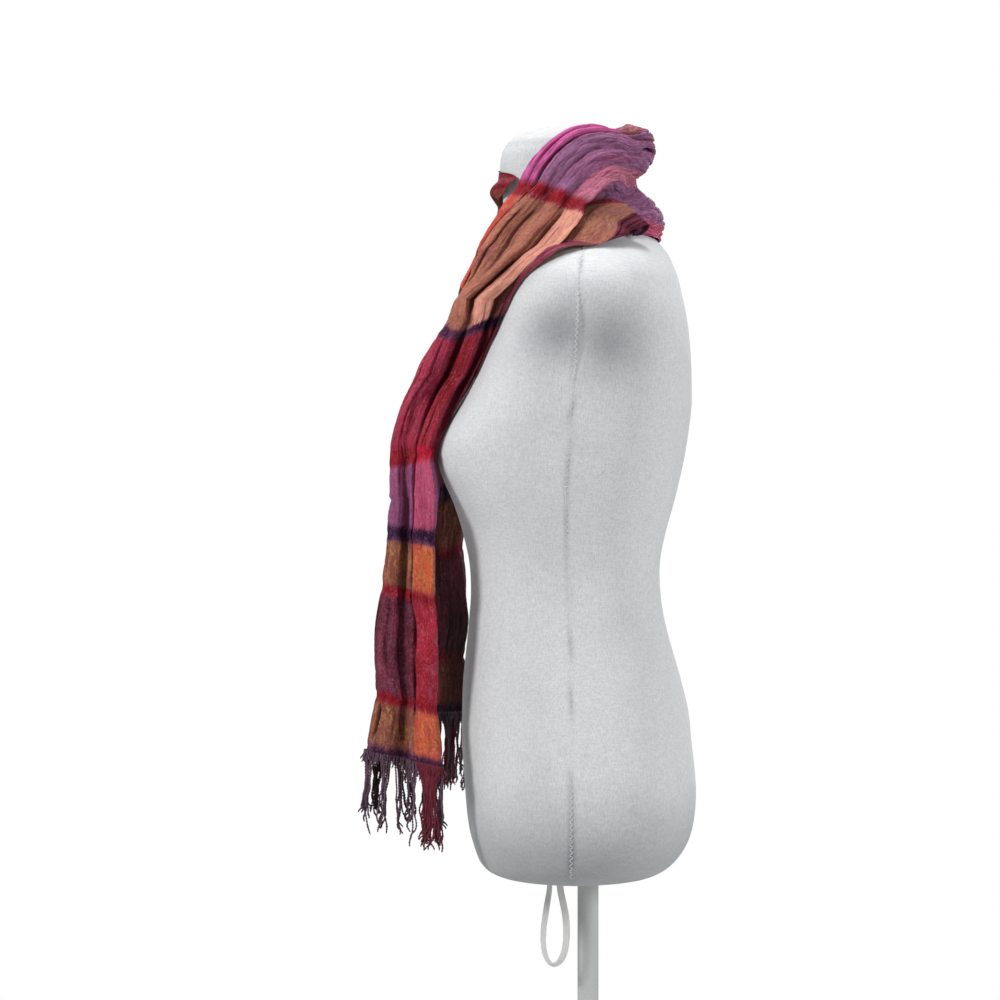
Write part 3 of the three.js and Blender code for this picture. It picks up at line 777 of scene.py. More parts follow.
# Stripes along the scarf: how far from the hem each begins, then its colour in the wide columns and in the
# front, middle and last narrow columns.
STRIPES = [
    (0, *4 * [PURPLE_GATHER]),
    (12, BROWN, ORANGE, ORANGE, ORANGE),
    (54, *4 * [RED_GATHER]),
    (65, PLUM, CRIMSON, CRIMSON, CRIMSON),
    (159, *4 * [RED_GATHER]),
    (170, BROWN, ORANGE, ORANGE, ORANGE),
    (215, *4 * [PURPLE_GATHER]),
    (231, LILAC, PINK, PINK, PINK),
    (291, RED_GATHER, PINK_GATHER, PINK_GATHER, PINK_GATHER),
    (308, MAROON, RED, RED, RED),
    (436, *4 * [PURPLE_GATHER]),
    (450, TAN, CORAL, SALMON, WINE),
    (583, RED_GATHER, RED_GATHER, RED_GATHER, PURPLE_GATHER),
    (600, MAUVE, MAGENTA, ROSE_MAUVE, PINK),
    (668, MAUVE, DUSTY_BROWN, ROSE_MAUVE, PINK),
]
STRIPE_SPAN = 760
SOFT_EDGE = 1.6


def stripe_stops(column):
    stops = []
    for index, stripe in enumerate(STRIPES):
        if index > 0:
            stops.append((stripe[0] - SOFT_EDGE, STRIPES[index - 1][column]))
        stops.append((stripe[0] + SOFT_EDGE, stripe[column]))
    return stops


# How closely the scrolls' lines follow each other.
SCROLL_LINES = 27


def cloth_material():
    """Crinkled jacquard: stripes across the scarf, wide and narrow columns along it, and gold scrolls."""
    shader = Shader("scarf_cloth", 0.55, 0.16)
    flat = shader.flat()
    place = shader.attribute("stripe")
    edge_noise = shader.noise(shader.stretched(flat, 2.6, 24), 3, 0.6)
    ragged = shader.math("MULTIPLY_ADD", edge_noise, 12, place)
    ragged = shader.math("SUBTRACT", ragged, 6)
    base = shader.ramp(ragged, stripe_stops(1), STRIPE_SPAN)
    for index, column in enumerate(("front", "middle", "last")):
        stripes = shader.ramp(ragged, stripe_stops(index + 2), STRIPE_SPAN)
        base = shader.mix(shader.attribute(column), base, stripes)

    # The shot cloth shimmers: painted highlights lie in pale lengthwise streaks, and its two thread colours
    # show in soft darker and rosy patches.
    streak = shader.noise(shader.stretched(flat, 1.1, 22), 4, 0.62)
    patch = shader.noise(shader.stretched(flat, 20, 38), 3, 0.6)
    blush = shader.noise(shader.stretched(flat, 34, 60), 2, 0.5, 0.6)
    loose = shader.math("SUBTRACT", 1.0, shader.attribute("drawn"))
    # Painted highlight: pale streaks along the cloth, away from the gathers.
    painted_streak_light = shader.math("MULTIPLY", shader.between(streak, 0.42, 0.72), loose)
    base = shader.tint(base, painted_streak_light, 0.07, colour(232, 166, 180))
    dark = shader.between(patch, 0.6, 0.3)
    base = shader.tint(base, dark, 0.5, colour(150, 70, 110), "MULTIPLY")
    rosy = shader.math("MULTIPLY", shader.between(blush, 0.45, 0.7), loose)
    base = shader.tint(base, rosy, 0.22, colour(192, 66, 100))

    # Painted highlights glint in small specks of the crinkled thread, and painted shade keeps its hollows
    # dark.
    speck = shader.noise(shader.stretched(flat, 1.9, 3.0), 3, 0.7)
    glint = shader.math("MULTIPLY", shader.between(speck, 0.54, 0.72), loose)
    base = shader.tint(base, glint, 0.36, colour(236, 156, 176))
    painted_hollow_shade = shader.between(speck, 0.46, 0.3)
    base = shader.tint(base, painted_hollow_shade, 0.6, colour(120, 50, 70), "MULTIPLY")

    # Scrolls of gold or pale thread, as level lines of a soft noise, worn away in patches.
    gold = shader.attribute("gold")
    relief = shader.noise(shader.stretched(flat, 15, 8.5), 1.6, 0.5, 0.9)
    lines = shader.math("SINE", shader.math("MULTIPLY", relief, SCROLL_LINES))
    scroll = shader.between(lines, -0.25, 0.9)
    worn = shader.between(shader.noise(shader.stretched(flat, 13, 17), 2), 0.36, 0.6)
    shown = shader.math("MULTIPLY", scroll, worn)
    thread = shader.mix(gold, colour(226, 160, 190), colour(214, 156, 92))
    strength = shader.math("MULTIPLY_ADD", gold, 0.36, 0.1)
    base = shader.mix(shader.math("MULTIPLY", shown, strength), base, thread)

    # Painted shade: deep folds, creases, the flap's inner side, the tails' facing sides and the cloth under
    # the chest and the neck are darkened.
    base = shader.mix(shader.attribute("fold"), base, colour(66, 8, 24), "MULTIPLY")
    shader.connect("Base Color", base)
    rough = shader.between(shown, 0, 1, 0.58, 0.44)
    shader.connect("Roughness", rough)

    across, along, _ = shader.parts(flat)
    weave = shader.math("MULTIPLY", shader.wave(across, 0.7), shader.wave(along, 0.6))
    crease = shader.noise(shader.stretched(flat, 1.5, 16), 3, 0.6)
    crumple = shader.noise(shader.stretched(flat, 4.2, 7.5), 4, 0.62, 0.5)
    height = shader.math("MULTIPLY_ADD", weave, 0.08, crease)
    normal = shader.bump(height, 0.8, 0.6)
    normal = shader.bump(crumple, 2.2, 0.6, normal)
    ridged = shader.math("ABSOLUTE", shader.math("SUBTRACT", crumple, 0.5))
    normal = shader.bump(ridged, 3.0, 0.5, normal)
    normal = shader.bump(shown, 0.1, 0.5, normal)
    shader.connect("Normal", normal)
    shader.set("Sheen Weight", 0.06)
    shader.set("Sheen Roughness", 0.4)
    shader.set("Sheen Tint", colour(240, 180, 205))
    return shader.material


def fringe_material():
    """Twisted yarn: dusky purple, and dark red under the narrow column, with painted shade between the tails.
    """
    shader = Shader("fringe_yarn", 0.62, 0.3)
    place = shader.object_millimetres()
    mottle = shader.noise(shader.stretched(place, 3, 3, 7), 3)
    purple = shader.mix(mottle, colour(52, 32, 46), colour(136, 100, 122))
    red = shader.mix(mottle, colour(78, 4, 24), colour(138, 16, 44))
    base = shader.mix(shader.attribute("red"), purple, red)
    base = shader.mix(shader.attribute("tip"), base, colour(78, 62, 72))
    # Painted shade: strands between the tails are darkened to near black.
    base = shader.tint(base, shader.attribute("deep"), 0.8, colour(20, 10, 16))
    shader.connect("Base Color", base)
    fibre = shader.noise(shader.stretched(place, 0.5, 0.5, 2.2), 2)
    shader.connect("Normal", shader.bump(fibre, 0.3, 0.6))
    shader.set("Sheen Weight", 0.08)
    return shader.material


def jersey_material():
    """Heathered jersey over padding, darker at the arm ends and along the seams, with painted shade towards
    the bottom and on the underside.
    """
    shader = Shader("form_jersey", 0.88, 0.2)
    place = shader.object_millimetres()
    heather = shader.noise(shader.stretched(place, 1.1, 1.1, 4.5), 4, 0.65)
    slub = shader.noise(shader.stretched(place, 9, 9, 1.3), 3, 0.6)
    cloud = shader.noise(shader.stretched(place, 60, 60, 60), 3)
    base = shader.mix(shader.between(heather, 0.3, 0.72), colour(192, 194, 196), colour(226, 228, 229))
    base = shader.tint(base, shader.between(slub, 0.45, 0.7), 0.35, colour(238, 238, 238))
    base = shader.tint(base, shader.between(cloud, 0.5, 0.75), 0.12, colour(150, 158, 160))
    # Darker along the seams and at the arm-end dimples; painted shade towards the bottom and on the
    # underside.
    base = shader.mix(shader.attribute("seams_and_painted_shade"), base, colour(120, 122, 126), "MULTIPLY")
    shader.connect("Base Color", base)
    knit = shader.noise(shader.stretched(place, 0.9, 0.9, 1.6), 2)
    shader.connect("Normal", shader.bump(knit, 0.35, 0.45))
    shader.set("Sheen Weight", 0.15)
    return shader.material


def metal_material():
    """Pale satin paint on a steel tube and base, with light scuffs."""
    shader = Shader("stand_paint", 0.4, 0.5)
    place = shader.object_millimetres()
    speckle = shader.noise(shader.stretched(place, 2, 2, 2), 4)
    scuff = shader.noise(shader.stretched(place, 9, 9, 60), 4, 0.7)
    base = shader.mix(speckle, colour(176, 178, 176), colour(196, 198, 196))
    base = shader.tint(base, shader.between(scuff, 0.6, 0.8), 0.3, colour(132, 132, 130))
    shader.connect("Base Color", base)
    shader.connect("Roughness", shader.between(scuff, 0.3, 0.8, 0.34, 0.55))
    shader.connect("Normal", shader.bump(speckle, 0.08, 0.3))
    return shader.material


def tape_material():
    """Flat woven cotton tape."""
    shader = Shader("tie_tape", 0.85, 0.2)
    flat = shader.flat()
    rib = shader.wave(shader.parts(flat)[1], 0.9)
    mottle = shader.noise(shader.stretched(flat, 2, 5), 3)
    base = shader.mix(mottle, colour(196, 198, 194), colour(226, 227, 224))
    shader.connect("Base Color", base)
    shader.connect("Normal", shader.bump(shader.math("MULTIPLY_ADD", rib, 0.4, mottle), 0.3, 0.6))
    return shader.material


def thread_material():
    """Sewing thread of the form's side seams."""
    shader = Shader("seam_thread", 0.8, 0.2)
    mottle = shader.noise(shader.stretched(shader.object_millimetres(), 1, 1, 1), 2)
    shader.connect("Base Color", shader.mix(mottle, colour(196, 200, 202), colour(236, 238, 238)))
    return shader.material


def floor_material():
    shader = Shader("pale_floor", 0.7, 0.3)
    mottle = shader.noise(shader.stretched(shader.object_millimetres(), 40, 40, 40), 3)
    shader.connect("Base Color", shader.mix(mottle, colour(232, 232, 231), colour(240, 240, 239)))
    return shader.material


# Scarf pieces

# Shares of the cloth's width at which its front, middle and last narrow columns end or begin.
COLUMN_EDGES = (0.111, 0.417, 0.55, 0.872)
COLUMN_SOFT = 0.003


def column_shares(distance, along):
    """1 in the front, the middle and the last narrow column, and 0 elsewhere."""
    u = distance[None, :]
    share = u / CLOTH_WIDTH + 0.004 * noise(along[:, None] / 12, u / 90, 51)
    past = [smooth_step(edge - COLUMN_SOFT, edge + COLUMN_SOFT, share) for edge in COLUMN_EDGES]
    return 1 - past[0], past[1] * (1 - past[2]), past[3]


def stripe_place(distance, along):
    """Millimetres from the nearer hem at which the stripes are read: they slant near the nape."""
    share = (distance / CLOTH_WIDTH)[None, :]
    from_hem = hem_distance(along)[:, None]
    slant = 52 * smooth_step(0.56, 0.84, share) * smooth_step(470, 600, from_hem)
    vee = 16 * bump(share, 0.36, 0.14) * bump(from_hem, 440, 46)
    at_flap = bump(SCARF_LENGTH - along, FLAP_PLACE, FLAP_HALF)[:, None]
    flap = FLAP_STRIPE_SHIFT * at_flap * (1 - smooth_step(30, FLAP_WIDTH, distance))
    return from_hem - slant + vee + flap


def painted_fold_shade(points, distance, along):
    """Share of painted shade at each point, from 0 to 1: deep in folds and creases, inside the throat flap,
    between the tails, and under the chest and the neck.
    """
    columns = len(distance)
    shade = np.zeros(points.shape[:2])
    # Painted shade where the cloth lies deeper than its neighbours across, and in the creases.
    for reach, deep in ((8, 3.0), (20, 8.0)):
        left = points[:, np.clip(np.arange(columns) - reach, 0, columns - 1)]
        right = points[:, np.clip(np.arange(columns) + reach, 0, columns - 1)]
        inwards = ((left + right) / 2 - points) * normals_of(points)
        shade = np.maximum(shade, np.clip(inwards.sum(-1) / deep, 0, 1))
    shade = np.maximum(shade, np.clip(creased(distance, along) / 5.5, 0, 1))
    from_hem = hem_distance(along)[:, None]
    share = (distance / CLOTH_WIDTH)[None, :]
    at_neck = smooth_step(580, 630, from_hem) * smooth_step(0.1, 0.2, share)
    shade = shade * (0.46 + 0.3 * smooth_step(290, 340, from_hem) - 0.26 * at_neck)
    # Painted shade on the flap's inner side at the throat.
    near_flap = bump(SCARF_LENGTH - along, FLAP_PLACE, 34)[:, None]
    in_throat = 0.4 * near_flap * (1 - smooth_step(20, FLAP_WIDTH, distance))
    # Painted shade on the tails' facing sides, darkest on the far tail's hidden part.
    hung = 1 - smooth_step(300, 380, from_hem)
    hidden = 0.8 + 0.19 * smooth_step(-148, -134, points[..., 0])
    between_tails = hidden * (1 - smooth_step(54, 88, np.abs(points[..., 1]))) * hung
    # Painted shade on the last wide column under the chest and under the neck's overhang.
    lower_half = smooth_step(0.56, 0.64, share)
    under_chest = 0.8 * bump(from_hem, 385, 95) * lower_half
    under_neck = 0.5 * bump(from_hem, 604, 42) * lower_half
    return np.maximum.reduce([shade, in_throat, between_tails, under_chest, under_neck])


# Bands across the cloth whose scrolls are gold: where the gold begins, is full, begins to fade and ends.
HEM_GOLD = [(12, 19, 50, 56), (168, 174, 210, 216)]
SHOULDER_GOLD = (450, 458, 580, 588)


def gold_share(stripe, last_column):
    """1 where the scrolls are gold thread, and 0 where they are pale."""
    def banded(begin, full, fade, end):
        return smooth_step(begin, full, stripe) * (1 - smooth_step(fade, end, stripe))

    gold = sum(banded(*band) for band in HEM_GOLD)
    return gold + banded(*SHOULDER_GOLD) * (1 - last_column)


# Rows made past each end of a stretch, so that its folds run on smoothly into the next one.
SPARE_ROWS = 2


def scarf_stretch(stretch, material):
    """One stretch of the cloth as a mesh, with its length in metres and how it is held."""
    name, start, stop, slot, held = stretch
    first, last = np.interp([start, stop], PATH_ROWS, PATH_LENGTHS)
    count = int(round((last - first) / ROW_STEP)) + 1
    rows = np.interp(np.linspace(first, last, count), PATH_LENGTHS, PATH_ROWS)
    step = rows[1] - rows[0]
    before = rows[0] - step * np.arange(SPARE_ROWS, 0, -1)
    after = rows[-1] + step * np.arange(1, SPARE_ROWS + 1)
    at_hem = stop == len(SECTIONS) - 1
    inner = slice(SPARE_ROWS if start > 0 else 0, None if at_hem else -SPARE_ROWS)
    wider = np.concatenate([before if start > 0 else [], rows, [] if at_hem else after])
    points, distance, along = scarf_grid(wider)
    points = wrinkled(points, distance, along)
    front, middle, last_column = column_shares(distance, along)
    values = {
        "front": front,
        "middle": middle,
        "last": last_column,
        "stripe": stripe_place(distance, along),
        "fold": painted_fold_shade(points, distance, along),
    }
    values["gold"] = gold_share(values["stripe"], last_column)
    values["drawn"] = np.repeat(gathered(along)[0][:, None], len(distance), axis=1)
    points = points[inner]
    shape = points.shape[:2]
    made = add_object(name + "_cloth", points.reshape(-1, 3), grid_faces(*shape))
    u = np.broadcast_to(distance[None, :], shape).ravel() * MM
    v = np.broadcast_to(along[inner][:, None], shape).ravel() * MM
    set_uv(made, u, v)
    for key, value in values.items():
        set_values(made, key, value[inner])
    finish_piece(made, material, [name])
    return made, (last - first) * MM, held


# Fringe

# Any direction that no tube runs along, from which its rings are turned.
TUBE_SIDEWAYS = (0.31, 0.87, 0.12)


def tube(line, radius, sides):
    """Points and faces of a tube along a line, with closed ends."""
    line = np.asarray(line, float)
    forward = unit(np.gradient(line, axis=0))
    side = unit(np.cross(forward, TUBE_SIDEWAYS))
    other = np.cross(forward, side)
    angles = angles_round(sides)
    ring = np.cos(angles)[None, :, None] * side[:, None, :]
    ring = ring + np.sin(angles)[None, :, None] * other[:, None, :]
    radii = np.broadcast_to(radius, len(line))[:, None, None]
    points = (line[:, None, :] + ring * radii).reshape(-1, 3)
    return points, capped_faces(len(line), sides)


STRANDS = 76
RED_STRANDS = 26
RED_SHARES = (0.45, 0.565)
BUNCHES = 19
FRINGE_LENGTH = 80
STRAND_POINTS = 56
PLY_SIDES = 6
PLY_RADIUS = 0.54
PLY_OFFSET = 0.52
PLY_PITCH = 5.2
KNOT_SWELL = 0.32
KNOT_HALF = 0.014
TIP_KNOT = 0.9
HEM_STRANDS = 420
HEM_STRAND_LENGTH = 9
HEM_STRAND_RADIUS = 0.42


def in_tassel(share):
    return RED_SHARES[0] <= share <= RED_SHARES[1]


def painted_tail_shade(points):
    """Share of painted shade: 1 on strands that hang between the tails, and 0 outside them."""
    return 1 - smooth_step(60, 92, np.abs(points[:, 1]))


def fringe_bunches(chance):
    """Bunches of strands: middle across the hem, share of the full length, knot's place, pull and sway."""
    return {
        "middle": (np.arange(BUNCHES) + 0.5 + chance.uniform(-0.22, 0.22, BUNCHES)) / BUNCHES,
        "length": chance.uniform(0.74, 1.0, BUNCHES),
        "knot": chance.uniform(0.28, 0.62, BUNCHES),
        "pull": chance.uniform(0.5, 0.95, BUNCHES),
        "sway": chance.normal(0, 5.0, (BUNCHES, 2)),
    }


def strand_line(hem, share, bunches, chance):
    """The line of one strand, from its root in the hem to its curled tip, its length and its knot's place."""
    bunch = int(np.argmin(np.abs(bunches["middle"] - share)))
    middle, length, knot, pull, sway = (bunches[key][bunch] for key in bunches)
    if in_tassel(share):
        middle, length, pull, sway = sum(RED_SHARES) / 2, 1.0, 0.6, 0.3 * sway
    last = len(hem) - 1
    root = hem[int(share * last)]
    knot_root = hem[int(np.clip(middle, 0, 1) * last)]
    length = FRINGE_LENGTH * length * chance.uniform(0.84, 1.0)
    fall = np.linspace(0, 1, STRAND_POINTS)
    loosened = smooth_step(knot, 1.0, fall) * chance.uniform(0.2, 0.7)
    drawn = pull * smooth_step(0, knot, fall) * (1 - loosened)
    plan = root[None, :2] * (1 - drawn[:, None]) + knot_root[None, :2] * drawn[:, None]
    plan = plan + sway * (fall ** 1.3)[:, None]
    phase = chance.uniform(0, 2 * np.pi, 4)
    reach = chance.uniform(0.8, 3.2, 2)
    plan[:, 0] += (reach[0] * np.sin(fall * 9 + phase[0]) + 0.7 * np.sin(fall * 23 + phase[1])) * fall
    plan[:, 1] += (reach[1] * np.sin(fall * 8 + phase[2]) + 0.7 * np.sin(fall * 21 + phase[3])) * fall
    curl = smooth_step(0.84, 1.0, fall)
    swing = chance.uniform(0, 2 * np.pi)
    plan = plan + curl[:, None] * np.array([np.cos(swing), np.sin(swing)]) * chance.uniform(1.5, 5.5)
    height = root[2] + 5.0 - fall * (length + 6) + curl * chance.uniform(0, 5)
    return np.column_stack([plan, height]), length, knot


def add_strand(mesh, hem, share, bunches, chance):
    """Two plies twisted round each other, with a knot near the middle and one at the tip."""
    line, length, knot = strand_line(hem, share, bunches, chance)
    fall = np.linspace(0, 1, STRAND_POINTS)
    red = 1.0 if in_tassel(share) or share > 0.9 else 0.0
    tip = np.repeat(smooth_step(0.7, 1.0, fall) * (0.8 - 0.6 * red), PLY_SIDES)
    radius = PLY_RADIUS * (1 - 0.35 * smooth_step(0.96, 1, fall))
    for place in (TIP_KNOT, knot):
        radius = radius + KNOT_SWELL * bump(fall, place, KNOT_HALF)
    for ply in range(2):
        angle = fall * length / PLY_PITCH * 2 * np.pi + np.pi * ply
        offset = np.stack([np.cos(angle), np.sin(angle), np.zeros_like(angle)], -1) * PLY_OFFSET
        part, faces = tube(line + offset, radius, PLY_SIDES)
        mesh.add(part, faces, red=red * chance.uniform(0.75, 1), deep=painted_tail_shade(part), tip=tip)


def add_hem_strand(mesh, hem, chance):
    """One short loose end at the hem."""
    share = chance.uniform(0, 1)
    root = hem[int(share * (len(hem) - 1))]
    fall = np.linspace(0, 1, 5)
    lean = chance.normal(0, 2.2, 2)
    height = root[2] + 4.5 - fall * HEM_STRAND_LENGTH * chance.uniform(0.7, 1.25)
    plan = root[None, :2] + chance.normal(0, 0.7, 2) + lean * (fall ** 1.6)[:, None]
    part, faces = tube(np.column_stack([plan, height]), HEM_STRAND_RADIUS, 4)
    red = 0.9 if in_tassel(share) else 0.0
    mesh.add(part, faces, red=red, deep=painted_tail_shade(part), tip=chance.uniform(-0.3, 0.4))


def fringe_piece(name, hem, node, seed, material):
    """Loose twisted strands in bunches, a red tassel among them, and short ends along the hem."""
    chance = np.random.default_rng(seed)
    mesh = JoinedMesh()
    bunches = fringe_bunches(chance)
    even = (np.arange(STRANDS) + 0.5) / STRANDS
    for share in np.concatenate([even, np.linspace(*RED_SHARES, RED_STRANDS)]):
        add_strand(mesh, hem, share, bunches, chance)
    for _ in range(HEM_STRANDS):
        add_hem_strand(mesh, hem, chance)
    return finish_piece(mesh.finish(name), material, [node])


# Dress form piece

# The side seams: x at each height.
SEAM_HEIGHTS = (609, 875, 984, 1050, 1103, 1164, 1193, 1214, 1241, 1300)
SEAM_PLACES = (-20, -20, -25, -21, -17, -14, -13, -10, -4, -4)
SEAM_TOP = 1246
CAP_SEAM_Z = 1338

# Dimples at the arm ends: x, z, half width, half height and depth.
STUMPS = ((-33, 1146, 36, 30, 3.8), (17, 1136, 34, 36, 3.2))


def seam_x(z):
    return np.interp(z, SEAM_HEIGHTS, SEAM_PLACES)


def form_points():
    """The form's rings, from the gathered middle of its underside to its crown."""
    angle = angles_round(FORM_SIDES)
    steps = np.hypot(np.diff(DENSE_RINGS[:, 0]), np.diff(DENSE_RINGS[:, 1]))
    arc = np.concatenate([[0], np.cumsum(steps)])
    heights = np.interp(np.arange(0, arc[-1], FORM_STEP), arc, DENSE_RINGS[:, 0])
    heights = np.concatenate([heights, [DENSE_RINGS[-1, 0]]])
    z = np.repeat(heights[:, None], FORM_SIDES, axis=1)
    around = np.repeat(angle[None, :], len(heights), axis=0)
    radius = form_radius(z, around)
    middle = form_ring(z)[0]
    x = middle + radius * np.cos(around)
    y = radius * np.sin(around)
    seams_and_painted_shade = np.zeros_like(z)
    dip = np.zeros_like(z)
    for place, height, wide, tall, depth in STUMPS:
        near = np.exp(-((x - place) / wide) ** 2 - ((z - height) / tall) ** 2)
        dip = dip + depth * near
        # Darker at the arm-end dimples.
        seams_and_painted_shade = np.maximum(seams_and_painted_shade, 0.56 * near)
    on_seam = (z < SEAM_TOP) * (np.abs(y) > 30)
    seam = bump(x, seam_x(z), 1.7) * on_seam
    beside = bump(x, seam_x(z), 5.5) * on_seam
    cap = bump(z, CAP_SEAM_Z, 2.2)
    lumps = 0.5 * noise(x / 45, z / 60 + y / 50, 61)
    radius = radius - dip - 1.3 * seam + 0.8 * beside - 1.1 * cap + lumps
    # Darker along the side seams and the cap's seam, and painted shade towards the bottom.
    seams_and_painted_shade = seams_and_painted_shade + 0.25 * seam + 0.3 * cap + 0.62 * (1 - smooth_step(606, 725, z))
    points = np.stack([middle + radius * np.cos(around), radius * np.sin(around), z], -1)
    return points, seams_and_painted_shade, angle


# Rings that draw in the underside and close the crown, as shares of the way out from their middles.
UNDERSIDE_SHARES = (0.92, 0.8, 0.66, 0.52, 0.38, 0.26)
CROWN_SHARES = (0.75, 0.5, 0.25, 0.04)


def dress_form(material):
    """The form's cover: its gathered underside, its body and its crown."""
    points, seams_and_painted_shade, angle = form_points()
    bottom = points[0]
    centre = np.array([0, 0, FORM_RINGS[0, 0]])
    inner = []
    for share in UNDERSIDE_SHARES:
        ring = centre + (bottom - centre) * share
        pleat = np.sin(angle * 30 + 2 * np.sin(angle * 5)) * (1 - share) * 1.6
        ring[:, 2] = FORM_RINGS[0, 0] + 0.4 + pleat * 0.5
        inner.append(ring)
    hole = np.stack([np.cos(angle), np.sin(angle), np.full_like(angle, 0)], -1) * (POLE_RADIUS + 1.5)
    inner.append(hole + np.array([0, 0, FORM_RINGS[0, 0] + 1.0]))
    inner.append(hole * 0.99 + np.array([0, 0, FORM_RINGS[0, 0] + 22]))
    crown = []
    top = points[-1]
    apex = np.array([form_ring(np.array([FORM_TOP_Z]))[0][0], 0, FORM_TOP_Z])
    for share in CROWN_SHARES:
        ring = apex + (top - apex) * share
        ring[:, 2] = FORM_RINGS[-1, 0] + (FORM_TOP_Z - FORM_RINGS[-1, 0]) * (1 - share ** 2)
        crown.append(ring)
    rings = np.concatenate([np.stack(inner[::-1]), points, np.stack(crown)])
    faces = [tuple(face) for face in grid_faces(len(rings), FORM_SIDES, closed=True)]
    last = (len(rings) - 1) * FORM_SIDES
    faces.append(tuple(range(last, last + FORM_SIDES)))
    made = add_object("form_cover", rings.reshape(-1, 3), faces)
    # Painted shade on the underside; the crown is a little darker in tone.
    under = np.full((len(inner), FORM_SIDES), 0.25)
    top_soil = np.full((len(crown), FORM_SIDES), 0.05)
    set_values(made, "seams_and_painted_shade", np.concatenate([under, seams_and_painted_shade, top_soil]))
    return finish_piece(made, material, ["dress_form"])


STITCHED_HEIGHTS = (620, 1243)
STITCH_STEP = 2.7
STITCH_SWING = 1.5
STITCH_RADIUS = 0.38
STITCH_LIFT = 0.35


def seam_line(heights, side, offset):
    """Points on the form's skin on one side, at an offset from the seam."""
    x = seam_x(heights) + offset
    points = np.stack([x, np.full_like(x, side * 150), heights], -1)
    for _ in range(40):
        distance, outwards = from_form(points)
        step = (distance - 0.1) / np.maximum(np.abs(outwards[:, 1]), 0.2)
        points[:, 1] -= side * np.clip(step, -20, 20) * 0.7
    return points


def seam_stitches(material):
    """Zigzag stitches over both side seams."""
    mesh = JoinedMesh()
    share = np.linspace(0, 1, 5)[:, None]
    arch = np.sin(share[:, 0] * np.pi)
    for side in (-1, 1):
        heights = np.arange(*STITCHED_HEIGHTS, STITCH_STEP)
        swing = STITCH_SWING * np.where(np.arange(len(heights)) % 2 == 0, 1, -1)
        corners = seam_line(heights, side, swing)
        for start, stop in zip(corners[:-1], corners[1:]):
            line = start * (1 - share) + stop * share
            line[:, 1] += side * STITCH_LIFT * arch
            mesh.add(*tube(line, STITCH_RADIUS * (0.55 + 0.45 * arch), 5))
    return finish_piece(mesh.finish("form_seam_stitches"), material)


# Stand and tie


def lathe(name, profile, sides, material, nodes):
    """A turned piece, from its profile of radius and height."""
    angle = angles_round(sides)
    profile = np.asarray(profile, float)
    rings = np.stack([
        profile[:, :1] * np.cos(angle)[None, :],
        profile[:, :1] * np.sin(angle)[None, :],
        np.repeat(profile[:, 1:], sides, axis=1),
    ], -1)
    made = add_object(name, rings.reshape(-1, 3), capped_faces(len(profile), sides))
    made.data.set_sharp_from_angle(angle=math.radians(40))
    return finish_piece(made, material, nodes)


def stand(material):
    """The weighted base with its collar, and the pole."""
    base = [
        (BASE_RADIUS - 3, 0),
        (BASE_RADIUS - 0.8, 0.8),
        (BASE_RADIUS, 3),
        (BASE_RADIUS - 0.8, 5.4),
        (BASE_RADIUS - 3, 7),
        (BASE_RADIUS - 40, 7.5),
        (COLLAR_RADIUS + 8, BASE_THICKNESS),
        (COLLAR_RADIUS + 3, BASE_THICKNESS + 1),
        (COLLAR_RADIUS + 0.6, BASE_THICKNESS + 4),
        (COLLAR_RADIUS, BASE_THICKNESS + 8),
        (COLLAR_RADIUS, COLLAR_HEIGHT - 3),
        (COLLAR_RADIUS - 0.7, COLLAR_HEIGHT - 0.8),
        (COLLAR_RADIUS - 2.4, COLLAR_HEIGHT),
        (POLE_RADIUS + 0.5, COLLAR_HEIGHT),
        (POLE_RADIUS + 0.3, COLLAR_HEIGHT - 5),
    ]
    lathe("stand_foot", base, 128, material, ["stand_base"])
    shaft = [(POLE_RADIUS, COLLAR_HEIGHT - 8)]
    shaft += [(POLE_RADIUS, height) for height in np.linspace(COLLAR_HEIGHT - 6, POLE_TOP, 40)]
    lathe("stand_tube", shaft, 64, material, ["stand_pole"])


def tie(material):
    """A flat tape loop, a mesh round the line that it follows."""
    rows = np.linspace(0, len(TIE_ROUTE) - 1, TIE_ROWS)
    line = catmull(np.array(TIE_ROUTE, float), rows)
    forward = unit(np.gradient(line, axis=0))
    deep = np.array([0.0, 1.0, 0.0])
    in_plane = unit(np.cross(deep, forward))
    turned = np.radians(np.interp(np.linspace(0, 1, len(rows)), *TIE_TWIST))[:, None]
    side = unit(np.cos(turned) * in_plane + np.sin(turned) * np.cross(forward, in_plane))
    other = np.cross(forward, side)
    angle = angles_round(TIE_SIDES)
    wide = np.sign(np.cos(angle)) * np.abs(np.cos(angle)) ** 0.5 * TIE_WIDTH / 2
    thick = np.sign(np.sin(angle)) * np.abs(np.sin(angle)) ** 0.7 * TIE_THICKNESS / 2
    ring = wide[None, :, None] * side[:, None, :] + thick[None, :, None] * other[:, None, :]
    points = line[:, None, :] + ring
    made = add_object("cover_tie_tape", points.reshape(-1, 3), capped_faces(len(rows), TIE_SIDES))
    length = np.concatenate([[0], np.cumsum(np.linalg.norm(np.diff(line, axis=0), axis=1))])
    u = np.broadcast_to(wide[None, :] * MM, points.shape[:2]).ravel()
    v = np.broadcast_to(length[:, None] * MM, points.shape[:2]).ravel()
    set_uv(made, u, v)
    finish_piece(made, material, ["cover_tie"])


# Studio


def camera():
    """The photograph's view: level, from the form's left side."""
    data = bpy.data.cameras.new("camera")
    data.sensor_width = SENSOR_WIDTH
    data.lens = SENSOR_WIDTH * CAMERA_DISTANCE / PHOTO_SIDE
    made = linked("camera", data)
    x, z = OPTICAL_MIDDLE
    made.location = (x * MM, -CAMERA_DISTANCE * MM, z * MM)
    made.rotation_euler = (math.radians(90), 0, 0)
    bpy.context.scene.camera = made


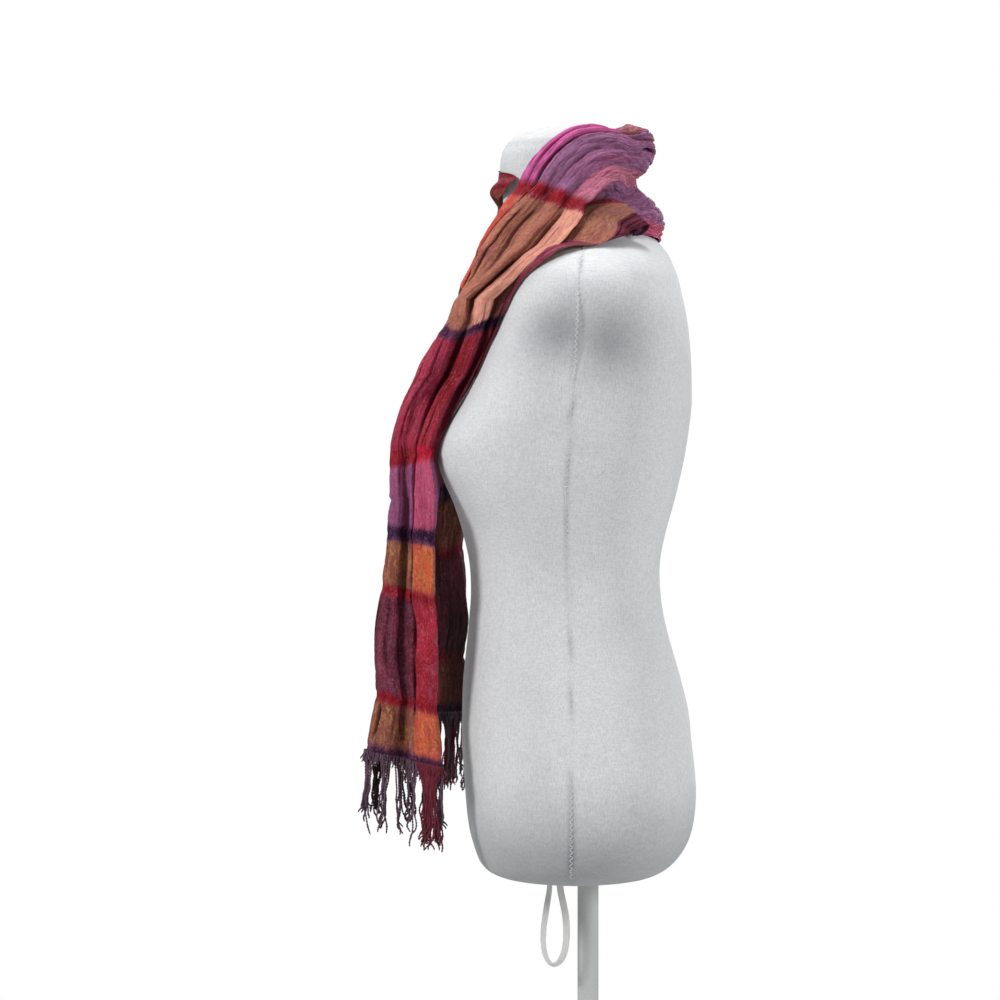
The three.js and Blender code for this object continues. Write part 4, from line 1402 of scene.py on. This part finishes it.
def area_light(name, place, target, size, power):
    data = bpy.data.lights.new(name, "AREA")
    data.shape = "DISK"
    data.size = size
    data.energy = power
    made = linked(name, data)
    made.location = place
    direction = np.array(target) - np.array(place)
    tilt = math.atan2(math.hypot(direction[0], direction[1]), -direction[2])
    turn = math.atan2(direction[1], direction[0]) - math.pi / 2
    made.rotation_euler = (tilt, 0, turn)


def background(tree, shade, strength):
    made = tree.nodes.new("ShaderNodeBackground")
    made.inputs["Color"].default_value = shade
    made.inputs["Strength"].default_value = strength
    return made.outputs[0]


WORLD_LIGHT = 0.3
LIT_MIDDLE = (-0.05, 0, 0.98)

# Soft lights: name, place in metres, width and power.
LIGHTS = [
    ("key", (-2.5, -1.9, 2.5), 0.9, 78),
    ("fill", (3.2, -1.5, 1.8), 1.6, 66),
    ("top", (0, 0.2, 3.6), 1.4, 40),
    ("back", (0.4, 2.6, 2.0), 1.8, 26),
]
FLOOR_RADIUS = 1150
FLOOR_DROP = 0.4
FLOOR_SIDES = 96


def studio():
    """A white backdrop, even light from all round, four soft lights and a pale round floor."""
    scene = bpy.context.scene
    scene.view_settings.view_transform = "Standard"
    world = bpy.data.worlds.new("studio")
    scene.world = world
    world.use_nodes = True
    tree = world.node_tree
    tree.nodes.clear()
    seen = background(tree, (1, 1, 1, 1), 1)
    lighting = background(tree, (0.97, 0.985, 1, 1), WORLD_LIGHT)
    rays = tree.nodes.new("ShaderNodeLightPath")
    mixed = tree.nodes.new("ShaderNodeMixShader")
    output = tree.nodes.new("ShaderNodeOutputWorld")
    tree.links.new(rays.outputs["Is Camera Ray"], mixed.inputs[0])
    tree.links.new(lighting, mixed.inputs[1])
    tree.links.new(seen, mixed.inputs[2])
    tree.links.new(mixed.outputs[0], output.inputs[0])

    for name, place, size, power in LIGHTS:
        area_light(name, place, LIT_MIDDLE, size, power)

    angle = angles_round(FLOOR_SIDES)
    rim = [np.cos(angle) * FLOOR_RADIUS, np.sin(angle) * FLOOR_RADIUS, np.full_like(angle, -FLOOR_DROP)]
    floor = add_object("floor", np.stack(rim, -1), [tuple(range(FLOOR_SIDES))])
    floor.data.materials.append(floor_material())


camera()
studio()
tie(tape_material())
stand(metal_material())
dress_form(jersey_material())
seam_stitches(thread_material())

cloth = cloth_material()
yarn = fringe_material()
hems = {
    "scarf_left_tail": ("left_fringe_strands", 0, "scarf_left_fringe", 5),
    "scarf_right_tail": ("right_fringe_strands", len(SECTIONS) - 1, "scarf_right_fringe", 17),
}
for stretch in STRETCHES:
    made, length, held = scarf_stretch(stretch, cloth)
    if stretch[0] in hems:
        name, row, node, seed = hems[stretch[0]]
        hem = scarf_grid(np.array([float(row)]))[0][0]
        fringe_piece(name, hem, node, seed, yarn)
